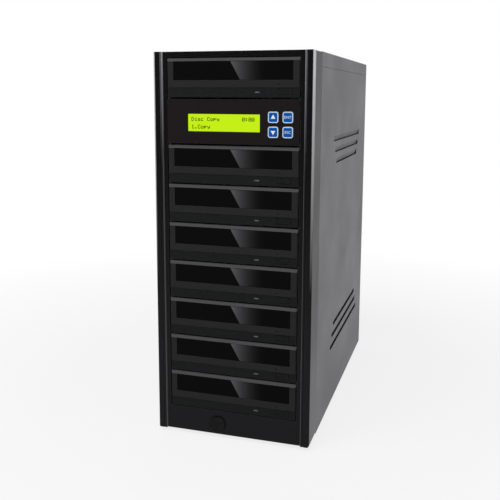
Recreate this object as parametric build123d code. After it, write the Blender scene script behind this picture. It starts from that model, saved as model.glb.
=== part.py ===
from build123d import *
import math
import os

# A stand-alone optical disc copying tower: eight half-height drives and a control
# panel stacked in a narrow steel case with a moulded front frame.
# Millimetres, +Z up, front towards -Y. Lengths along the depth are written from the
# front plane of the case and shifted to the middle of the box when they are saved.

# ---- front faces -------------------------------------------------------------
drive_count = 8
drives_above_panel = 1
drive_face_width = 148.0
drive_face_height = 41.5
panel_face_height = 47.8
face_thickness = 4.8
face_proud = 1.0
bay_gap = 2.0
edge_gap = 1.0
face_side_gap = 1.0

# ---- case --------------------------------------------------------------------
foot_height = 5.0
foot_radius = 11.0
foot_inset_side = 25.0
foot_inset_end = 40.0
post_width = 15.0
post_proud = 2.5
post_inner_step = 4.4
post_outer_radius = 2.6
post_inner_radius = 2.3
post_groove_radius = 0.7
post_groove_inset = 7.3
lower_panel_height = 28.3
top_band_height = 6.0
frame_corner_radius = 2.4
frame_depth = 34.0
frame_wall = 2.5
frame_front_wall = 3.0
frame_lip_depth = 12.0
case_depth = 369.0
sheet = 1.0
pan_sheet = 1.2
seam = 0.3
cover_flange = 15.6
pan_flange_height = 14.0
side_flange_width = 12.0

# ---- side vents --------------------------------------------------------------
vent_height = 6.4
vent_pitch = 13.6
vent_count = 3
upper_vent_middle = 210.5
lower_vent_middle = 217.0
upper_vent_top = 338.4
upper_vent_length = 196.0
lower_vent_bottom = 74.2
lower_vent_length = 204.0
vent_step = 18.0
louvre_depth = 1.4

# ---- power button ------------------------------------------------------------
power_radius = 8.4
power_x = -17.0
power_height = 12.6
power_clearance = 0.3
power_travel = 3.0
power_proud = 1.2
power_boss_wall = 2.0
power_boss_depth = 9.0
power_ring_width = 1.6
power_ring_depth = 0.8
power_dish_radius = 29.4
power_dish_depth = 0.84

# ---- drives ------------------------------------------------------------------
drive_width = 146.0
drive_height = 41.0
drive_length = 165.0
drive_sheet = 0.8
top_bevel_height = 3.4
top_bevel_depth = 1.9
side_bevel = 1.2
step_height = 10.6
step_depth = 0.8
door_width = 133.2
door_height = 19.4
door_bottom = 18.4
door_gap = 0.35
door_thickness = 3.6
door_proud = 0.6
tray_travel = 135.0
tray_width = 129.0
tray_overlap = 20.0
tray_thickness = 9.0
tray_bottom = 21.0
disc_radius = 60.5
disc_recess_depth = 3.4
small_disc_radius = 40.5
small_recess_depth = 1.2
disc_margin = 6.5
window_half_width = 22.0
runner_gap = 0.3
runner_width = 4.2
runner_thickness = 2.0
turntable_radius = 14.5
turntable_thickness = 1.5
hub_radius = 7.3
hub_height = 2.2
hub_taper = 0.72
rotor_radius = 12.0
shaft_radius = 1.5
shaft_clearance = 0.08
shaft_length = 7.0
clamp_radius = 15.0
clamp_thickness = 3.0
clamp_neck_radius = 5.0
clamp_cap_radius = 8.0
clamp_cap_thickness = 1.4
clamp_gap = 0.4
bridge_width = 30.0
bridge_sheet = 1.0
bridge_hole_gap = 1.0
deck_thickness = 1.6
deck_width = 112.0
deck_bottom = 8.6
rail_radius = 1.5
rail_spread = 18.0
rail_length = 62.0
sled_length = 24.0
sled_height = 5.6
lens_radius = 3.0
board_thickness = 1.6
board_rise = 1.5
board_start = 28.0
board_length = 104.0
board_left = -62.0
board_right = 66.0
boss_radius = 2.0
boss_x = 46.0
boss_depths = (34.0, 120.0)
deck_start = 10.0
deck_length = 138.0
deck_post_size = 6.0
deck_post_depths = (16.0, 140.0)
rail_rise = 1.5
rail_gap = 6.0
rail_post_width = 6.0
rail_post_length = 4.0
lens_height = 1.2
rotor_drop = 2.0
switch_width = 8.0
switch_length = 6.0
runner_start = 2.0
runner_rise = 1.2
bridge_rise = 6.4
eject_width = 14.3
eject_height = 5.2
eject_x = 58.0
eject_middle = 6.0
eject_gap = 0.2
eject_travel = 1.0
eject_proud = 0.4
eject_length = 13.0
eject_stem = 3.0
eject_corner = 0.8
pin_hole_radius = 0.8
pin_hole_x = 51.5
pin_hole_height = 13.9
lamp_width = 5.6
lamp_height = 1.8
lamp_x = 28.0
lamp_middle = 5.3

# ---- control panel -----------------------------------------------------------
panel_thickness = 3.0
panel_rim = 8.0
window_width = 81.7
window_height = 19.1
window_x = -9.65
window_middle = 22.65
module_thickness = 5.0
module_rim = 3.0
glass_recess = 1.2
switch_half = 3.0
switch_gap = 0.2
key_width = 11.3
key_height = 11.8
key_corner = 2.4
key_gap = 0.25
key_left_x = 45.9
key_pitch_x = 15.85
key_top = 29.3
key_pitch_z = 15.6
key_proud = 0.8
key_travel = 0.6
key_flange = 0.8
key_flange_thickness = 0.8

# ---- drive cage --------------------------------------------------------------
cage_sheet = 1.0
cage_gap = 0.4
cage_depth = 176.0
cage_window_height = 22.0
cage_window_length = 90.0
shelf_height = 2.0
standoff_height = 5.0
standoff_radius = 2.5
controller_width = 136.0
controller_length = 134.0
port_width = 8.0
port_height = 8.0
port_length = 12.0
port_pitch = 13.0
controller_power_x = 61.0
chip_size = 36.0
chip_x = -22.0
chip_offset = 10.0
chip_height = 2.2
sink_size = 32.0
sink_base = 2.0
sink_height = 13.0
sink_fins = 8
sink_fin_thickness = 1.2
memory_count = 4
memory_x = 14.5
memory_pitch = 12.5
memory_width = 9.0
memory_length = 20.0
memory_height = 1.2
capacitor_radius = 4.0
capacitor_height = 11.0
capacitor_x = 16.0
capacitor_pitch = 14.0
capacitor_count = 3
capacitor_offset = 14.0

# ---- rear --------------------------------------------------------------------
supply_width = 150.0
supply_height = 86.0
supply_length = 125.0
supply_top_gap = 5.0
supply_sheet = 1.0
supply_opening_margin = 3.0
supply_vent_count = 6
supply_vent_width = 4.0
supply_vent_pitch = 9.0
fan_size = 80.0
fan_depth = 25.0
fan_bore_radius = 38.0
fan_wall_corner = 3.0
fan_hub_radius = 16.0
fan_tip_gap = 1.2
fan_blades = 7
fan_blade_thickness = 1.6
fan_blade_depth = 16.0
fan_blade_turn = 32.0
fan_blade_share = 0.95
fan_blade_root = 2.0
fan_spoke_width = 4.0
fan_spoke_thickness = 3.0
fan_rotor_gap = 0.3
fan_hole_pitch = 71.5
fan_axle_radius = 2.0
fan_axle_length = 8.0
fan_axle_reach = 1.8
fan_axle_end_gap = 0.3
supply_fan_x = 18.0
lower_fan_height = 152.0
upper_fan_height = 268.0
grille_ring_width = 2.4
grille_ring_gap = 6.0
grille_spoke_width = 3.0
grille_spoke_reach = 95.0
inlet_x = -43.0
inlet_drop = 22.0
inlet_width = 30.5
inlet_height = 26.0
inlet_mouth_width = 24.4
inlet_mouth_height = 16.6
inlet_mouth_depth = 16.0
inlet_corner = 4.2
inlet_length = 20.0
inlet_face = 2.0
inlet_fit = 0.3
blade_width = 4.0
blade_thickness = 2.0
blade_length = 11.0
blade_spread = 7.0
blade_rise = 2.0
rocker_width = 19.0
rocker_height = 13.0
rocker_raise = 18.0
rocker_frame = 2.2
rocker_depth = 9.0
rocker_gap = 0.3
rocker_pin_radius = 1.2
rocker_pin_depth = 2.5
rocker_heel = 2.2
rocker_waist = 2.4
rocker_face = 2.6
rocker_tip = 3.4
supply_screw_inset = 6.0
supply_corner_keep = 12.0

# ---- screws ------------------------------------------------------------------
screw_radius = 1.75
screw_hole_gap = 0.3
screw_head_radius = 3.4
screw_head_height = 2.0
screw_length = 8.0
side_screw_length = 3.0
thumb_radius = 6.0
thumb_height = 6.0
thumb_count = 3
thumb_inset = 7.5
side_screw_front = 25.0
side_screw_pitch = 80.0
side_screw_height = 10.5

# ---- cables ------------------------------------------------------------------
data_cable_radius = 2.2
data_lane_first = 10.0
data_lane_pitch = 5.2
data_plug_x = 60.0
data_plug_width = 13.6
data_plug_height = 6.4
power_cable_radius = 2.6
power_link_radius = 2.1
power_plug_x = -58.0
power_plug_width = 22.0
power_plug_height = 9.0
power_plug_length = 12.0
power_loop = 15.0
power_lead_spread = 4.5
plug_length = 13.0
bend_share = 0.45

# ---- heights that follow -----------------------------------------------------
drives_below_panel = drive_count - drives_above_panel
case_bottom = foot_height
opening_bottom = case_bottom + lower_panel_height
face_pitch = drive_face_height + bay_gap
panel_bottom = opening_bottom + edge_gap + drives_below_panel * face_pitch
upper_drives_bottom = panel_bottom + panel_face_height + bay_gap
opening_top = upper_drives_bottom + drives_above_panel * face_pitch - bay_gap + edge_gap
case_top = opening_top + top_band_height
case_width = drive_face_width + 2 * (face_side_gap + post_width)
half_case = case_width / 2
half_opening = drive_face_width / 2 + face_side_gap
pan_top = case_bottom + pan_sheet
seam_height = case_top - cover_flange
rear_inner = case_depth - 2 * sheet
rear_outer = case_depth - sheet
inside_wall = half_case - sheet

# ---- depths that follow ------------------------------------------------------
front_reach = -max(post_proud, face_proud, face_proud + key_proud)
back_reach = case_depth + thumb_height
middle_depth = (front_reach + back_reach) / 2
case_front = face_thickness - face_proud
drive_back = case_front + drive_length
disc_depth = door_thickness - door_proud + disc_margin + disc_radius
tray_length = tray_travel + tray_overlap
power_length = power_proud + frame_front_wall + power_boss_depth - power_travel


def drive_bottoms():
    """Bottom of each drive's face, the top drive first."""
    upper = [upper_drives_bottom + i * face_pitch for i in range(drives_above_panel)]
    lower = [opening_bottom + edge_gap + i * face_pitch for i in range(drives_below_panel)]
    return sorted(upper + lower, reverse=True)


def block(x0, x1, y0, y1, z0, z1):
    """A box between two corners."""
    middle = ((x0 + x1) / 2, (y0 + y1) / 2, (z0 + z1) / 2)
    return Pos(*middle) * Box(abs(x1 - x0), abs(y1 - y0), abs(z1 - z0))


def slab(x, y, width, length, z0, z1):
    """A box about a middle in plan, between two heights."""
    return block(x - width / 2, x + width / 2, y - length / 2, y + length / 2, z0, z1)


def rod_x(radius, x0, x1, y, z):
    """A cylinder along X."""
    return Pos((x0 + x1) / 2, y, z) * Rot(0, 90, 0) * Cylinder(radius, abs(x1 - x0))


def rod_y(radius, y0, y1, x, z):
    """A cylinder along Y."""
    return Pos(x, (y0 + y1) / 2, z) * Rot(90, 0, 0) * Cylinder(radius, abs(y1 - y0))


def rod_z(radius, z0, z1, x, y):
    """A cylinder along Z."""
    return Pos(x, y, (z0 + z1) / 2) * Cylinder(radius, abs(z1 - z0))


def rounded_bar(width, height, corner, y0, y1, x, z):
    """A bar along Y with a rounded rectangular section."""
    outline = Plane.XZ * RectangleRounded(width, height, corner)
    return Pos(x, max(y0, y1), z) * extrude(outline, abs(y1 - y0))


def mirrored(shape):
    """The same piece on the other side of the case."""
    return mirror(shape, about=Plane.YZ)


def save(name, *shapes):
    """Writes a sub-part, shifted so that the whole part is centred on the origin."""
    placed = [Pos(0, -middle_depth, 0) * shape for shape in shapes]
    whole = placed[0] if len(placed) == 1 else Compound(children=placed)
    export_step(whole, f"parts/{name}.step")


# ---- case --------------------------------------------------------------------
def frame_plan():
    """Plan outline of the front frame, with a proud grooved post at each side."""
    inner = half_opening + post_inner_step
    right = [
        (half_case, frame_depth),
        (half_case, -post_proud),
        (inner, -post_proud),
        (inner, 0),
    ]
    left = [(-x, y) for x, y in reversed(right)]
    plan = make_face(Polyline(*right, *left, close=True))
    for edge, radius in ((half_case, post_outer_radius), (inner, post_inner_radius)):
        fronts = plan.vertices().filter_by(lambda v: abs(v.Y + post_proud) < seam / 10)
        corners = [v for v in fronts if abs(abs(v.X) - edge) < seam]
        plan = fillet(corners, radius)
    groove_x = half_case - post_groove_inset
    for x in (groove_x, -groove_x):
        plan -= Pos(x, -post_proud) * Circle(post_groove_radius)
    return plan


def front_frame():
    """Moulded front frame: posts, lower panel, top band and the wrap-round sides."""
    height = case_top - case_bottom
    body = Pos(0, 0, case_bottom) * extrude(frame_plan(), height)
    depth = frame_depth + post_proud
    rounding = RectangleRounded(case_width, height, frame_corner_radius)
    front_view = Plane.XZ * rounding
    body &= Pos(0, frame_depth, case_bottom + height / 2) * extrude(front_view, depth)
    body -= block(-half_case + frame_wall, half_case - frame_wall, frame_front_wall,
                  frame_depth, case_bottom + frame_wall, case_top - frame_wall)
    body -= block(-half_opening, half_opening, -post_proud, frame_front_wall,
                  opening_bottom, opening_top)
    lip = half_case - frame_wall
    body -= block(-lip, lip, frame_lip_depth, frame_depth, case_bottom, case_bottom + frame_wall)
    z = case_bottom + power_height
    boss = rod_y(power_radius + power_clearance + power_boss_wall, frame_front_wall,
                 frame_front_wall + power_boss_depth, power_x, z)
    body += boss
    body -= rod_y(power_radius + power_clearance, -post_proud,
                  frame_front_wall + power_boss_depth, power_x, z)
    ring = power_radius + power_clearance + power_ring_width
    body -= rod_y(ring, 0, power_ring_depth, power_x, z)
    return body


def power_button():
    """Round push button with a dished cap and a stem behind it."""
    z = case_bottom + power_height
    cap = rod_y(power_radius, -power_proud, power_length - power_proud, power_x, z)
    cap = fillet(cap.edges().group_by(Axis.Y)[0], power_proud * bend_share)
    dish_y = -power_proud - power_dish_radius + power_dish_depth
    dish = Pos(power_x, dish_y, z) * Sphere(power_dish_radius)
    return cap - dish


def foot(x, y):
    """One rubber foot with a chamfered lower rim."""
    piece = rod_z(foot_radius, 0, foot_height, x, y)
    return chamfer(piece.edges().group_by(Axis.Z)[0], foot_height / 4)


def rubber_feet():
    x = half_case - foot_inset_side
    ends = (foot_inset_end, case_depth - foot_inset_end)
    return [foot(side * x, y) for side in (-1, 1) for y in ends]


def base_pan():
    """Folded bottom plate with side and rear flanges."""
    side = half_case - frame_wall - seam
    back = rear_inner - seam
    front = frame_lip_depth + seam
    pan = block(-side, side, front, back, case_bottom, pan_top)
    top = pan_top + pan_flange_height
    pan += block(side - pan_sheet, side, frame_depth + seam, back, pan_top, top)
    pan += block(-side, -side + pan_sheet, frame_depth + seam, back, pan_top, top)
    pan += block(-side, side, back - pan_sheet, back, pan_top, top)
    return pan


def vent_rows():
    """Middle depth, middle height and length of each side vent."""
    rows = []
    for i in range(vent_count):
        z = case_bottom + upper_vent_top - vent_height / 2 - i * vent_pitch
        rows.append((upper_vent_middle, z, upper_vent_length - i * vent_step))
        z = case_bottom + lower_vent_bottom + i * vent_pitch
        rows.append((lower_vent_middle, z, lower_vent_length - i * vent_step))
    return rows


def louvre(y, z, length):
    """The pressed-in blade behind one vent."""
    x = half_case - sheet
    top = z + vent_height / 2
    low = z - vent_height / 2
    blade = Polyline(
        (x + sheet / 2, top), (x + sheet / 2, top + sheet), (x, top + sheet),
        (x - louvre_depth, low + sheet / 2), (x - louvre_depth, low), close=True,
    )
    face = Plane.XZ * make_face(blade)
    return Pos(0, y + length / 2, 0) * extrude(face, length)


def side_panel():
    """Right side panel: hemmed sheet with two groups of pressed vents."""
    front = frame_depth + seam
    top = seam_height - seam
    panel = block(inside_wall, half_case, front, case_depth, case_bottom, top)
    hem = half_case - frame_wall
    panel += block(hem, inside_wall, front, rear_inner - seam, case_bottom, case_bottom + sheet)
    panel += block(inside_wall - side_flange_width / 2, inside_wall, front,
                   rear_inner - 2 * side_flange_width, top - sheet, top)
    panel += block(half_case - side_flange_width, inside_wall, rear_outer, case_depth,
                   case_bottom + sheet, top)
    for y, z, length in vent_rows():
        slot = SlotOverall(length, vent_height)
        cutter = Plane.YZ * slot
        panel -= Pos(inside_wall - sheet, y, z) * extrude(cutter, 3 * sheet)
        panel += louvre(y, z, length)
    for z in thumb_heights():
        panel -= rod_y(screw_radius + screw_hole_gap, rear_outer, case_depth,
                       half_case - thumb_inset, z)
    return panel


def top_cover():
    """Cap over the steel body with side and rear flanges."""
    front = frame_depth + seam
    cover = block(-half_case, half_case, front, case_depth, case_top - sheet, case_top)
    cover += block(inside_wall, half_case, front, case_depth, seam_height, case_top - sheet)
    cover += block(-half_case, -inside_wall, front, case_depth, seam_height, case_top - sheet)
    cover += block(-half_case, half_case, rear_outer, case_depth, seam_height, case_top - sheet)
    for x, z in cover_screws():
        cover -= rod_y(screw_radius + screw_hole_gap, rear_outer, case_depth, x, z)
    return cover


# ---- rear --------------------------------------------------------------------
def thumb_heights():
    low = case_bottom + foot_inset_end
    high = seam_height - foot_inset_end
    return [low + (high - low) * i / (thumb_count - 1) for i in range(thumb_count)]


def cover_screws():
    x = half_case - foot_inset_side
    z = seam_height + cover_flange / 2
    return [(-x, z), (x, z)]


def supply_box():
    """Lowest and highest corner of the power supply."""
    top = seam_height - supply_top_gap
    return top - supply_height, top


def supply_middle():
    low, high = supply_box()
    return (low + high) / 2


def fan_places():
    """Axis of each fan: power supply, upper case fan, lower case fan."""
    return [(supply_fan_x, supply_middle()), (0, upper_fan_height), (0, lower_fan_height)]


def fan_backs():
    """Depth of the back face of each fan frame."""
    return [rear_inner - seam - supply_sheet - seam, rear_inner - seam, rear_inner - seam]


def fan_corners(x, z):
    half = fan_hole_pitch / 2
    return [(x + i * half, z + j * half) for i in (-1, 1) for j in (-1, 1)]


def supply_corners():
    low, high = supply_box()
    x = supply_width / 2 - supply_screw_inset
    heights = (low + supply_screw_inset, high - supply_screw_inset)
    return [(side * x, z) for side in (-1, 1) for z in heights]


def grille_cut(x, z, y0, y1):
    """The open rings of a stamped fan grille, to be cut from a plate."""
    radius = fan_bore_radius
    rings = []
    while radius > fan_hub_radius:
        ring = Circle(radius) - Circle(radius - grille_ring_gap)
        rings.append(ring)
        radius -= grille_ring_gap + grille_ring_width
    cut = rings[0]
    for ring in rings[1:]:
        cut += ring
    for turn in (45, 135):
        cut -= Rot(0, 0, turn) * Rectangle(grille_spoke_reach, grille_spoke_width)
    return Pos(x, y1, z) * extrude(Plane.XZ * cut, y1 - y0)


def rear_panel():
    """Rear plate with the supply opening, two grilles and forward side flanges."""
    side = inside_wall - seam
    top = case_top - sheet - seam
    panel = block(-side, side, rear_inner, rear_outer, case_bottom, top)
    flange_low = pan_top + pan_flange_height + seam
    for x0, x1 in ((side - sheet, side), (-side, -side + sheet)):
        panel += block(x0, x1, rear_inner - side_flange_width, rear_inner, flange_low,
                       seam_height - 2 * sheet)
    low, high = supply_box()
    edge = supply_width / 2 - supply_opening_margin
    panel -= block(-edge, edge, rear_inner, rear_outer, low + supply_corner_keep,
                   high - supply_corner_keep)
    inner_edge = edge - supply_corner_keep
    panel -= block(-inner_edge, inner_edge, rear_inner, rear_outer,
                   low + supply_opening_margin, high - supply_opening_margin)
    hole = screw_radius + screw_hole_gap
    for x, z in fan_places()[1:]:
        panel -= grille_cut(x, z, rear_inner, rear_outer)
        for cx, cz in fan_corners(x, z):
            panel -= rod_y(hole, rear_inner, rear_outer, cx, cz)
    for x, z in supply_corners() + cover_screws():
        panel -= rod_y(hole, rear_inner, rear_outer, x, z)
    for z in thumb_heights():
        for x in (half_case - thumb_inset, thumb_inset - half_case):
            panel -= rod_y(hole, rear_inner, rear_outer, x, z)
    return panel


def supply_case():
    """Sheet box of the power supply with its rear cut-outs and front vents."""
    low, high = supply_box()
    back = rear_inner - seam
    front = back - supply_length
    half = supply_width / 2
    shell = block(-half, half, front, back, low, high)
    shell -= block(-half + supply_sheet, half - supply_sheet, front + supply_sheet,
                   back - supply_sheet, low + supply_sheet, high - supply_sheet)
    x, z = fan_places()[0]
    shell -= grille_cut(x, z, back - supply_sheet, back)
    hole = screw_radius + screw_hole_gap
    for cx, cz in supply_corners() + fan_corners(x, z):
        shell -= rod_y(hole, back - supply_sheet, back, cx, cz)
    shell -= rounded_bar(inlet_mouth_width + 2 * inlet_face + 2 * inlet_fit,
                         inlet_mouth_height + 2 * inlet_face + 2 * inlet_fit, inlet_corner,
                         back - supply_sheet, back, inlet_x, inlet_z())
    shell -= block(inlet_x - rocker_width / 2, inlet_x + rocker_width / 2, back - supply_sheet,
                   back, rocker_z() - rocker_height / 2, rocker_z() + rocker_height / 2)
    start = -(supply_vent_count - 1) / 2
    for i in range(supply_vent_count):
        vx = -half / 2 + (start + i) * supply_vent_pitch
        shell -= block(vx - supply_vent_width / 2, vx + supply_vent_width / 2, front,
                       front + supply_sheet, low + inlet_drop, high - inlet_drop)
    return shell


def inlet_z():
    return supply_middle() - inlet_drop


def rocker_z():
    return supply_middle() + rocker_raise


def power_inlet():
    """Appliance inlet: rounded socket with three blades, in front of its flange."""
    back = rear_inner - seam
    body = rounded_bar(inlet_mouth_width + 2 * inlet_face, inlet_mouth_height + 2 * inlet_face,
                       inlet_corner, back - inlet_length, back, inlet_x, inlet_z())
    flange = rounded_bar(inlet_width, inlet_height, inlet_corner, back, back + inlet_face,
                         inlet_x, inlet_z())
    socket = rounded_bar(inlet_mouth_width, inlet_mouth_height, inlet_corner / 2,
                         back + inlet_face - inlet_mouth_depth, back + inlet_face,
                         inlet_x, inlet_z())
    piece = body + flange - socket
    floor = back + inlet_face - inlet_mouth_depth
    for dx, dz in ((-blade_spread, -blade_rise), (blade_spread, -blade_rise), (0, blade_rise)):
        x = inlet_x + dx
        z = inlet_z() + dz
        piece += block(x - blade_thickness / 2, x + blade_thickness / 2, floor,
                       floor + blade_length, z - blade_width / 2, z + blade_width / 2)
    return piece


def rocker_frame_piece():
    """Bezel of the mains switch, which carries the rocker on a pin."""
    back = rear_inner - seam
    half_w = rocker_width / 2 - inlet_fit
    half_h = rocker_height / 2 - inlet_fit
    z = rocker_z()
    body = block(inlet_x - half_w, inlet_x + half_w, back - rocker_depth, back,
                 z - half_h, z + half_h)
    body += block(inlet_x - half_w - 1, inlet_x + half_w + 1, back, back + inlet_face / 2,
                  z - half_h - 1, z + half_h + 1)
    in_w = half_w - rocker_frame
    in_h = half_h - rocker_frame / 2
    body -= block(inlet_x - in_w, inlet_x + in_w, back - rocker_depth + rocker_frame,
                  back + inlet_face, z - in_h, z + in_h)
    body += rod_x(rocker_pin_radius, inlet_x - in_w - rocker_gap, inlet_x + in_w + rocker_gap,
                  back - rocker_pin_depth, z)
    return body


def rocker_switch():
    """Mains rocker, turning on the pin of its bezel."""
    back = rear_inner - seam
    half_w = rocker_width / 2 - inlet_fit - rocker_frame - rocker_gap
    half_h = rocker_height / 2 - inlet_fit - rocker_frame / 2 - 2 * rocker_gap
    y = back - rocker_pin_depth
    z = rocker_z()
    outline = Polyline(
        (y - rocker_heel, z - rocker_waist), (y + rocker_face, z - half_h),
        (y + rocker_tip, z - half_h), (y + rocker_waist, z), (y + rocker_tip, z + half_h),
        (y + rocker_face, z + half_h), (y - rocker_heel, z + rocker_waist), close=True,
    )
    face = Plane.YZ * make_face(outline)
    piece = Pos(inlet_x - half_w, 0, 0) * extrude(face, 2 * half_w)
    return piece - rod_x(rocker_pin_radius + shaft_clearance, inlet_x - half_w,
                         inlet_x + half_w, y, z)


def fan_frame(x, z, back):
    """Square fan housing with its motor spokes at the back."""
    front = back - fan_depth
    frame = rounded_bar(fan_size, fan_size, fan_wall_corner, front, back, x, z)
    frame -= rod_y(fan_bore_radius, front, back, x, z)
    spoke_front = back - fan_spoke_thickness
    for turn in (0, 90):
        bar = Plane.XZ * Rectangle(2 * fan_bore_radius + 1, fan_spoke_width)
        frame += Pos(x, back, z) * Rot(0, turn, 0) * extrude(bar, fan_spoke_thickness)
    frame += rod_y(fan_hub_radius, spoke_front, back, x, z)
    bore_end = spoke_front + fan_axle_reach + fan_axle_end_gap
    frame -= rod_y(fan_axle_radius + shaft_clearance, front, bore_end, x, z)
    for cx, cz in fan_corners(x, z):
        frame -= rod_y(screw_radius + screw_hole_gap, front, back, cx, cz)
    return frame


def fan_rotor(x, z, back):
    """Fan rotor: hub, pitched blades and the axle that enters the housing."""
    hub_back = back - fan_spoke_thickness - fan_rotor_gap
    hub_front = hub_back - fan_blade_depth
    rotor = rod_y(fan_hub_radius, hub_front, hub_back, x, z)
    reach = fan_bore_radius - fan_tip_gap
    middle = (hub_front + hub_back) / 2
    span = reach - fan_hub_radius + fan_blade_root
    centre = fan_hub_radius - fan_blade_root + span / 2
    envelope = rod_y(reach, hub_front + 1, hub_back - 1, x, z)
    for i in range(fan_blades):
        blade = Box(span, fan_blade_depth * fan_blade_share, fan_blade_thickness)
        blade = Pos(centre, 0, 0) * Rot(fan_blade_turn, 0, 0) * blade
        blade = Pos(x, middle, z) * Rot(0, i * 360 / fan_blades, 0) * blade
        rotor += blade & envelope
    rotor += rod_y(fan_axle_radius, hub_back - fan_axle_length,
                   hub_back + fan_rotor_gap + fan_axle_reach, x, z)
    return rotor


# ---- drive cage and boards ---------------------------------------------------
def side_screw_places():
    """Depth and height of the screws that hold each drive in the cage."""
    first = case_front + side_screw_front
    depths = (first, first + side_screw_pitch)
    return [(y, z + side_screw_height) for z in drive_bottoms() for y in depths]


def bay_cage():
    """Two walls, front flanges, a top tie and the shelf under the controller."""
    inner = drive_width / 2 + cage_gap
    outer = inner + cage_sheet
    flange_front = frame_front_wall + seam
    front = case_front + seam
    top = case_top - frame_wall - seam
    lip_top = case_bottom + frame_wall + seam
    wall = block(inner, outer, front, front + cage_depth, pan_top, top)
    wall -= block(inner, outer, front, frame_lip_depth + seam, pan_top, lip_top)
    middle = front + cage_depth / 2
    for z in drive_bottoms():
        z_mid = z + drive_face_height / 2 + side_screw_height / 2
        wall -= block(inner, outer, middle - cage_window_length / 2,
                      middle + cage_window_length / 2, z_mid - cage_window_height / 2,
                      z_mid + cage_window_height / 2)
    for y, z in side_screw_places():
        wall -= rod_x(screw_radius + screw_hole_gap, inner, outer, y, z)
    flange_out = half_case - frame_wall - seam
    wall += block(outer, flange_out, flange_front, front + cage_sheet, lip_top, top)
    wall += block(outer, outer + side_flange_width / 2, frame_depth, front + cage_depth,
                  pan_top, pan_top + pan_sheet)
    cage = wall + mirrored(wall)
    cage += block(-inner, inner, frame_depth, front + cage_depth, top - cage_sheet, top)
    shelf_top = panel_bottom + shelf_height
    cage += block(-inner, inner, frame_depth / 2, front + cage_depth,
                  shelf_top - cage_sheet, shelf_top)
    for x, y in standoffs():
        cage += rod_z(standoff_radius, shelf_top, shelf_top + standoff_height, x, y)
    return cage


def controller_box():
    """Plan corners and the underside of the controller board."""
    front = frame_depth
    return front, front + controller_length, panel_bottom + shelf_height + standoff_height


def standoffs():
    front, back, _ = controller_box()
    x = controller_width / 2 - 2 * standoff_radius
    inset = 2 * standoff_radius
    return [(i * x, y) for i in (-1, 1) for y in (front + inset, back - inset)]


def data_ports():
    """X of the controller's data ports, one for each drive."""
    start = -(drive_count - 1) / 2
    return [(start + i) * port_pitch for i in range(drive_count)]


def controller_board():
    """Copy controller: board, main chip with its heat sink, memory and ports."""
    front, back, low = controller_box()
    half = controller_width / 2
    top = low + board_thickness
    board = block(-half, half, front, back, low, top)
    middle = (front + back) / 2
    chip_y = middle - chip_offset
    chip_top = top + chip_height
    fin_low = chip_top + sink_base
    board += slab(chip_x, chip_y, chip_size, chip_size, top, chip_top)
    board += slab(chip_x, chip_y, sink_size, sink_size, chip_top, fin_low)
    fin_pitch = (sink_size - sink_fin_thickness) / (sink_fins - 1)
    for i in range(sink_fins):
        x = chip_x - (sink_size - sink_fin_thickness) / 2 + i * fin_pitch
        board += slab(x, chip_y, sink_fin_thickness, sink_size, fin_low, top + sink_height)
    for i in range(memory_count):
        board += slab(memory_x + i * memory_pitch, chip_y, memory_width, memory_length, top,
                      top + memory_height)
    for i in range(capacitor_count):
        board += rod_z(capacitor_radius, top, top + capacitor_height,
                       capacitor_x + i * capacitor_pitch, middle + capacitor_offset)
    for x in data_ports() + [controller_power_x]:
        board += slab(x, back - port_length / 2, port_width, port_length, top, top + port_height)
    return board


# ---- drives ------------------------------------------------------------------
def drive_bezel(low):
    """Face of one drive: bevelled top edge, tray mouth, stepped lower strip."""
    half = drive_face_width / 2
    front = -face_proud
    high = low + drive_face_height
    face = block(-half, half, front, front + face_thickness, low, high)
    bevel = Polyline((front, high - top_bevel_height), (front, high),
                     (front + top_bevel_depth, high), close=True)
    cutter = Plane.YZ * make_face(bevel)
    face -= Pos(-half, 0, 0) * extrude(cutter, 2 * half)
    corner = Polyline((half - side_bevel, front), (half, front), (half, front + side_bevel),
                      close=True)
    side = Pos(0, 0, low) * extrude(make_face(corner), drive_face_height)
    face -= side
    face -= mirrored(side)
    face -= block(-half, half, front, front + step_depth, low, low + step_height)
    mouth_half = door_width / 2 + door_gap
    face -= block(-mouth_half, mouth_half, front, front + face_thickness,
                  low + door_bottom - door_gap, low + door_bottom + door_height + door_gap)
    face -= rounded_bar(eject_width + 2 * eject_gap, eject_height + 2 * eject_gap,
                        eject_corner + eject_gap, front, front + face_thickness, eject_x,
                        low + eject_middle)
    face -= rod_y(pin_hole_radius, front, front + face_thickness, pin_hole_x,
                  low + pin_hole_height)
    face -= block(lamp_x - lamp_width / 2, lamp_x + lamp_width / 2, front,
                  front + 2 * step_depth, low + lamp_middle - lamp_height / 2,
                  low + lamp_middle + lamp_height / 2)
    return face


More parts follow.
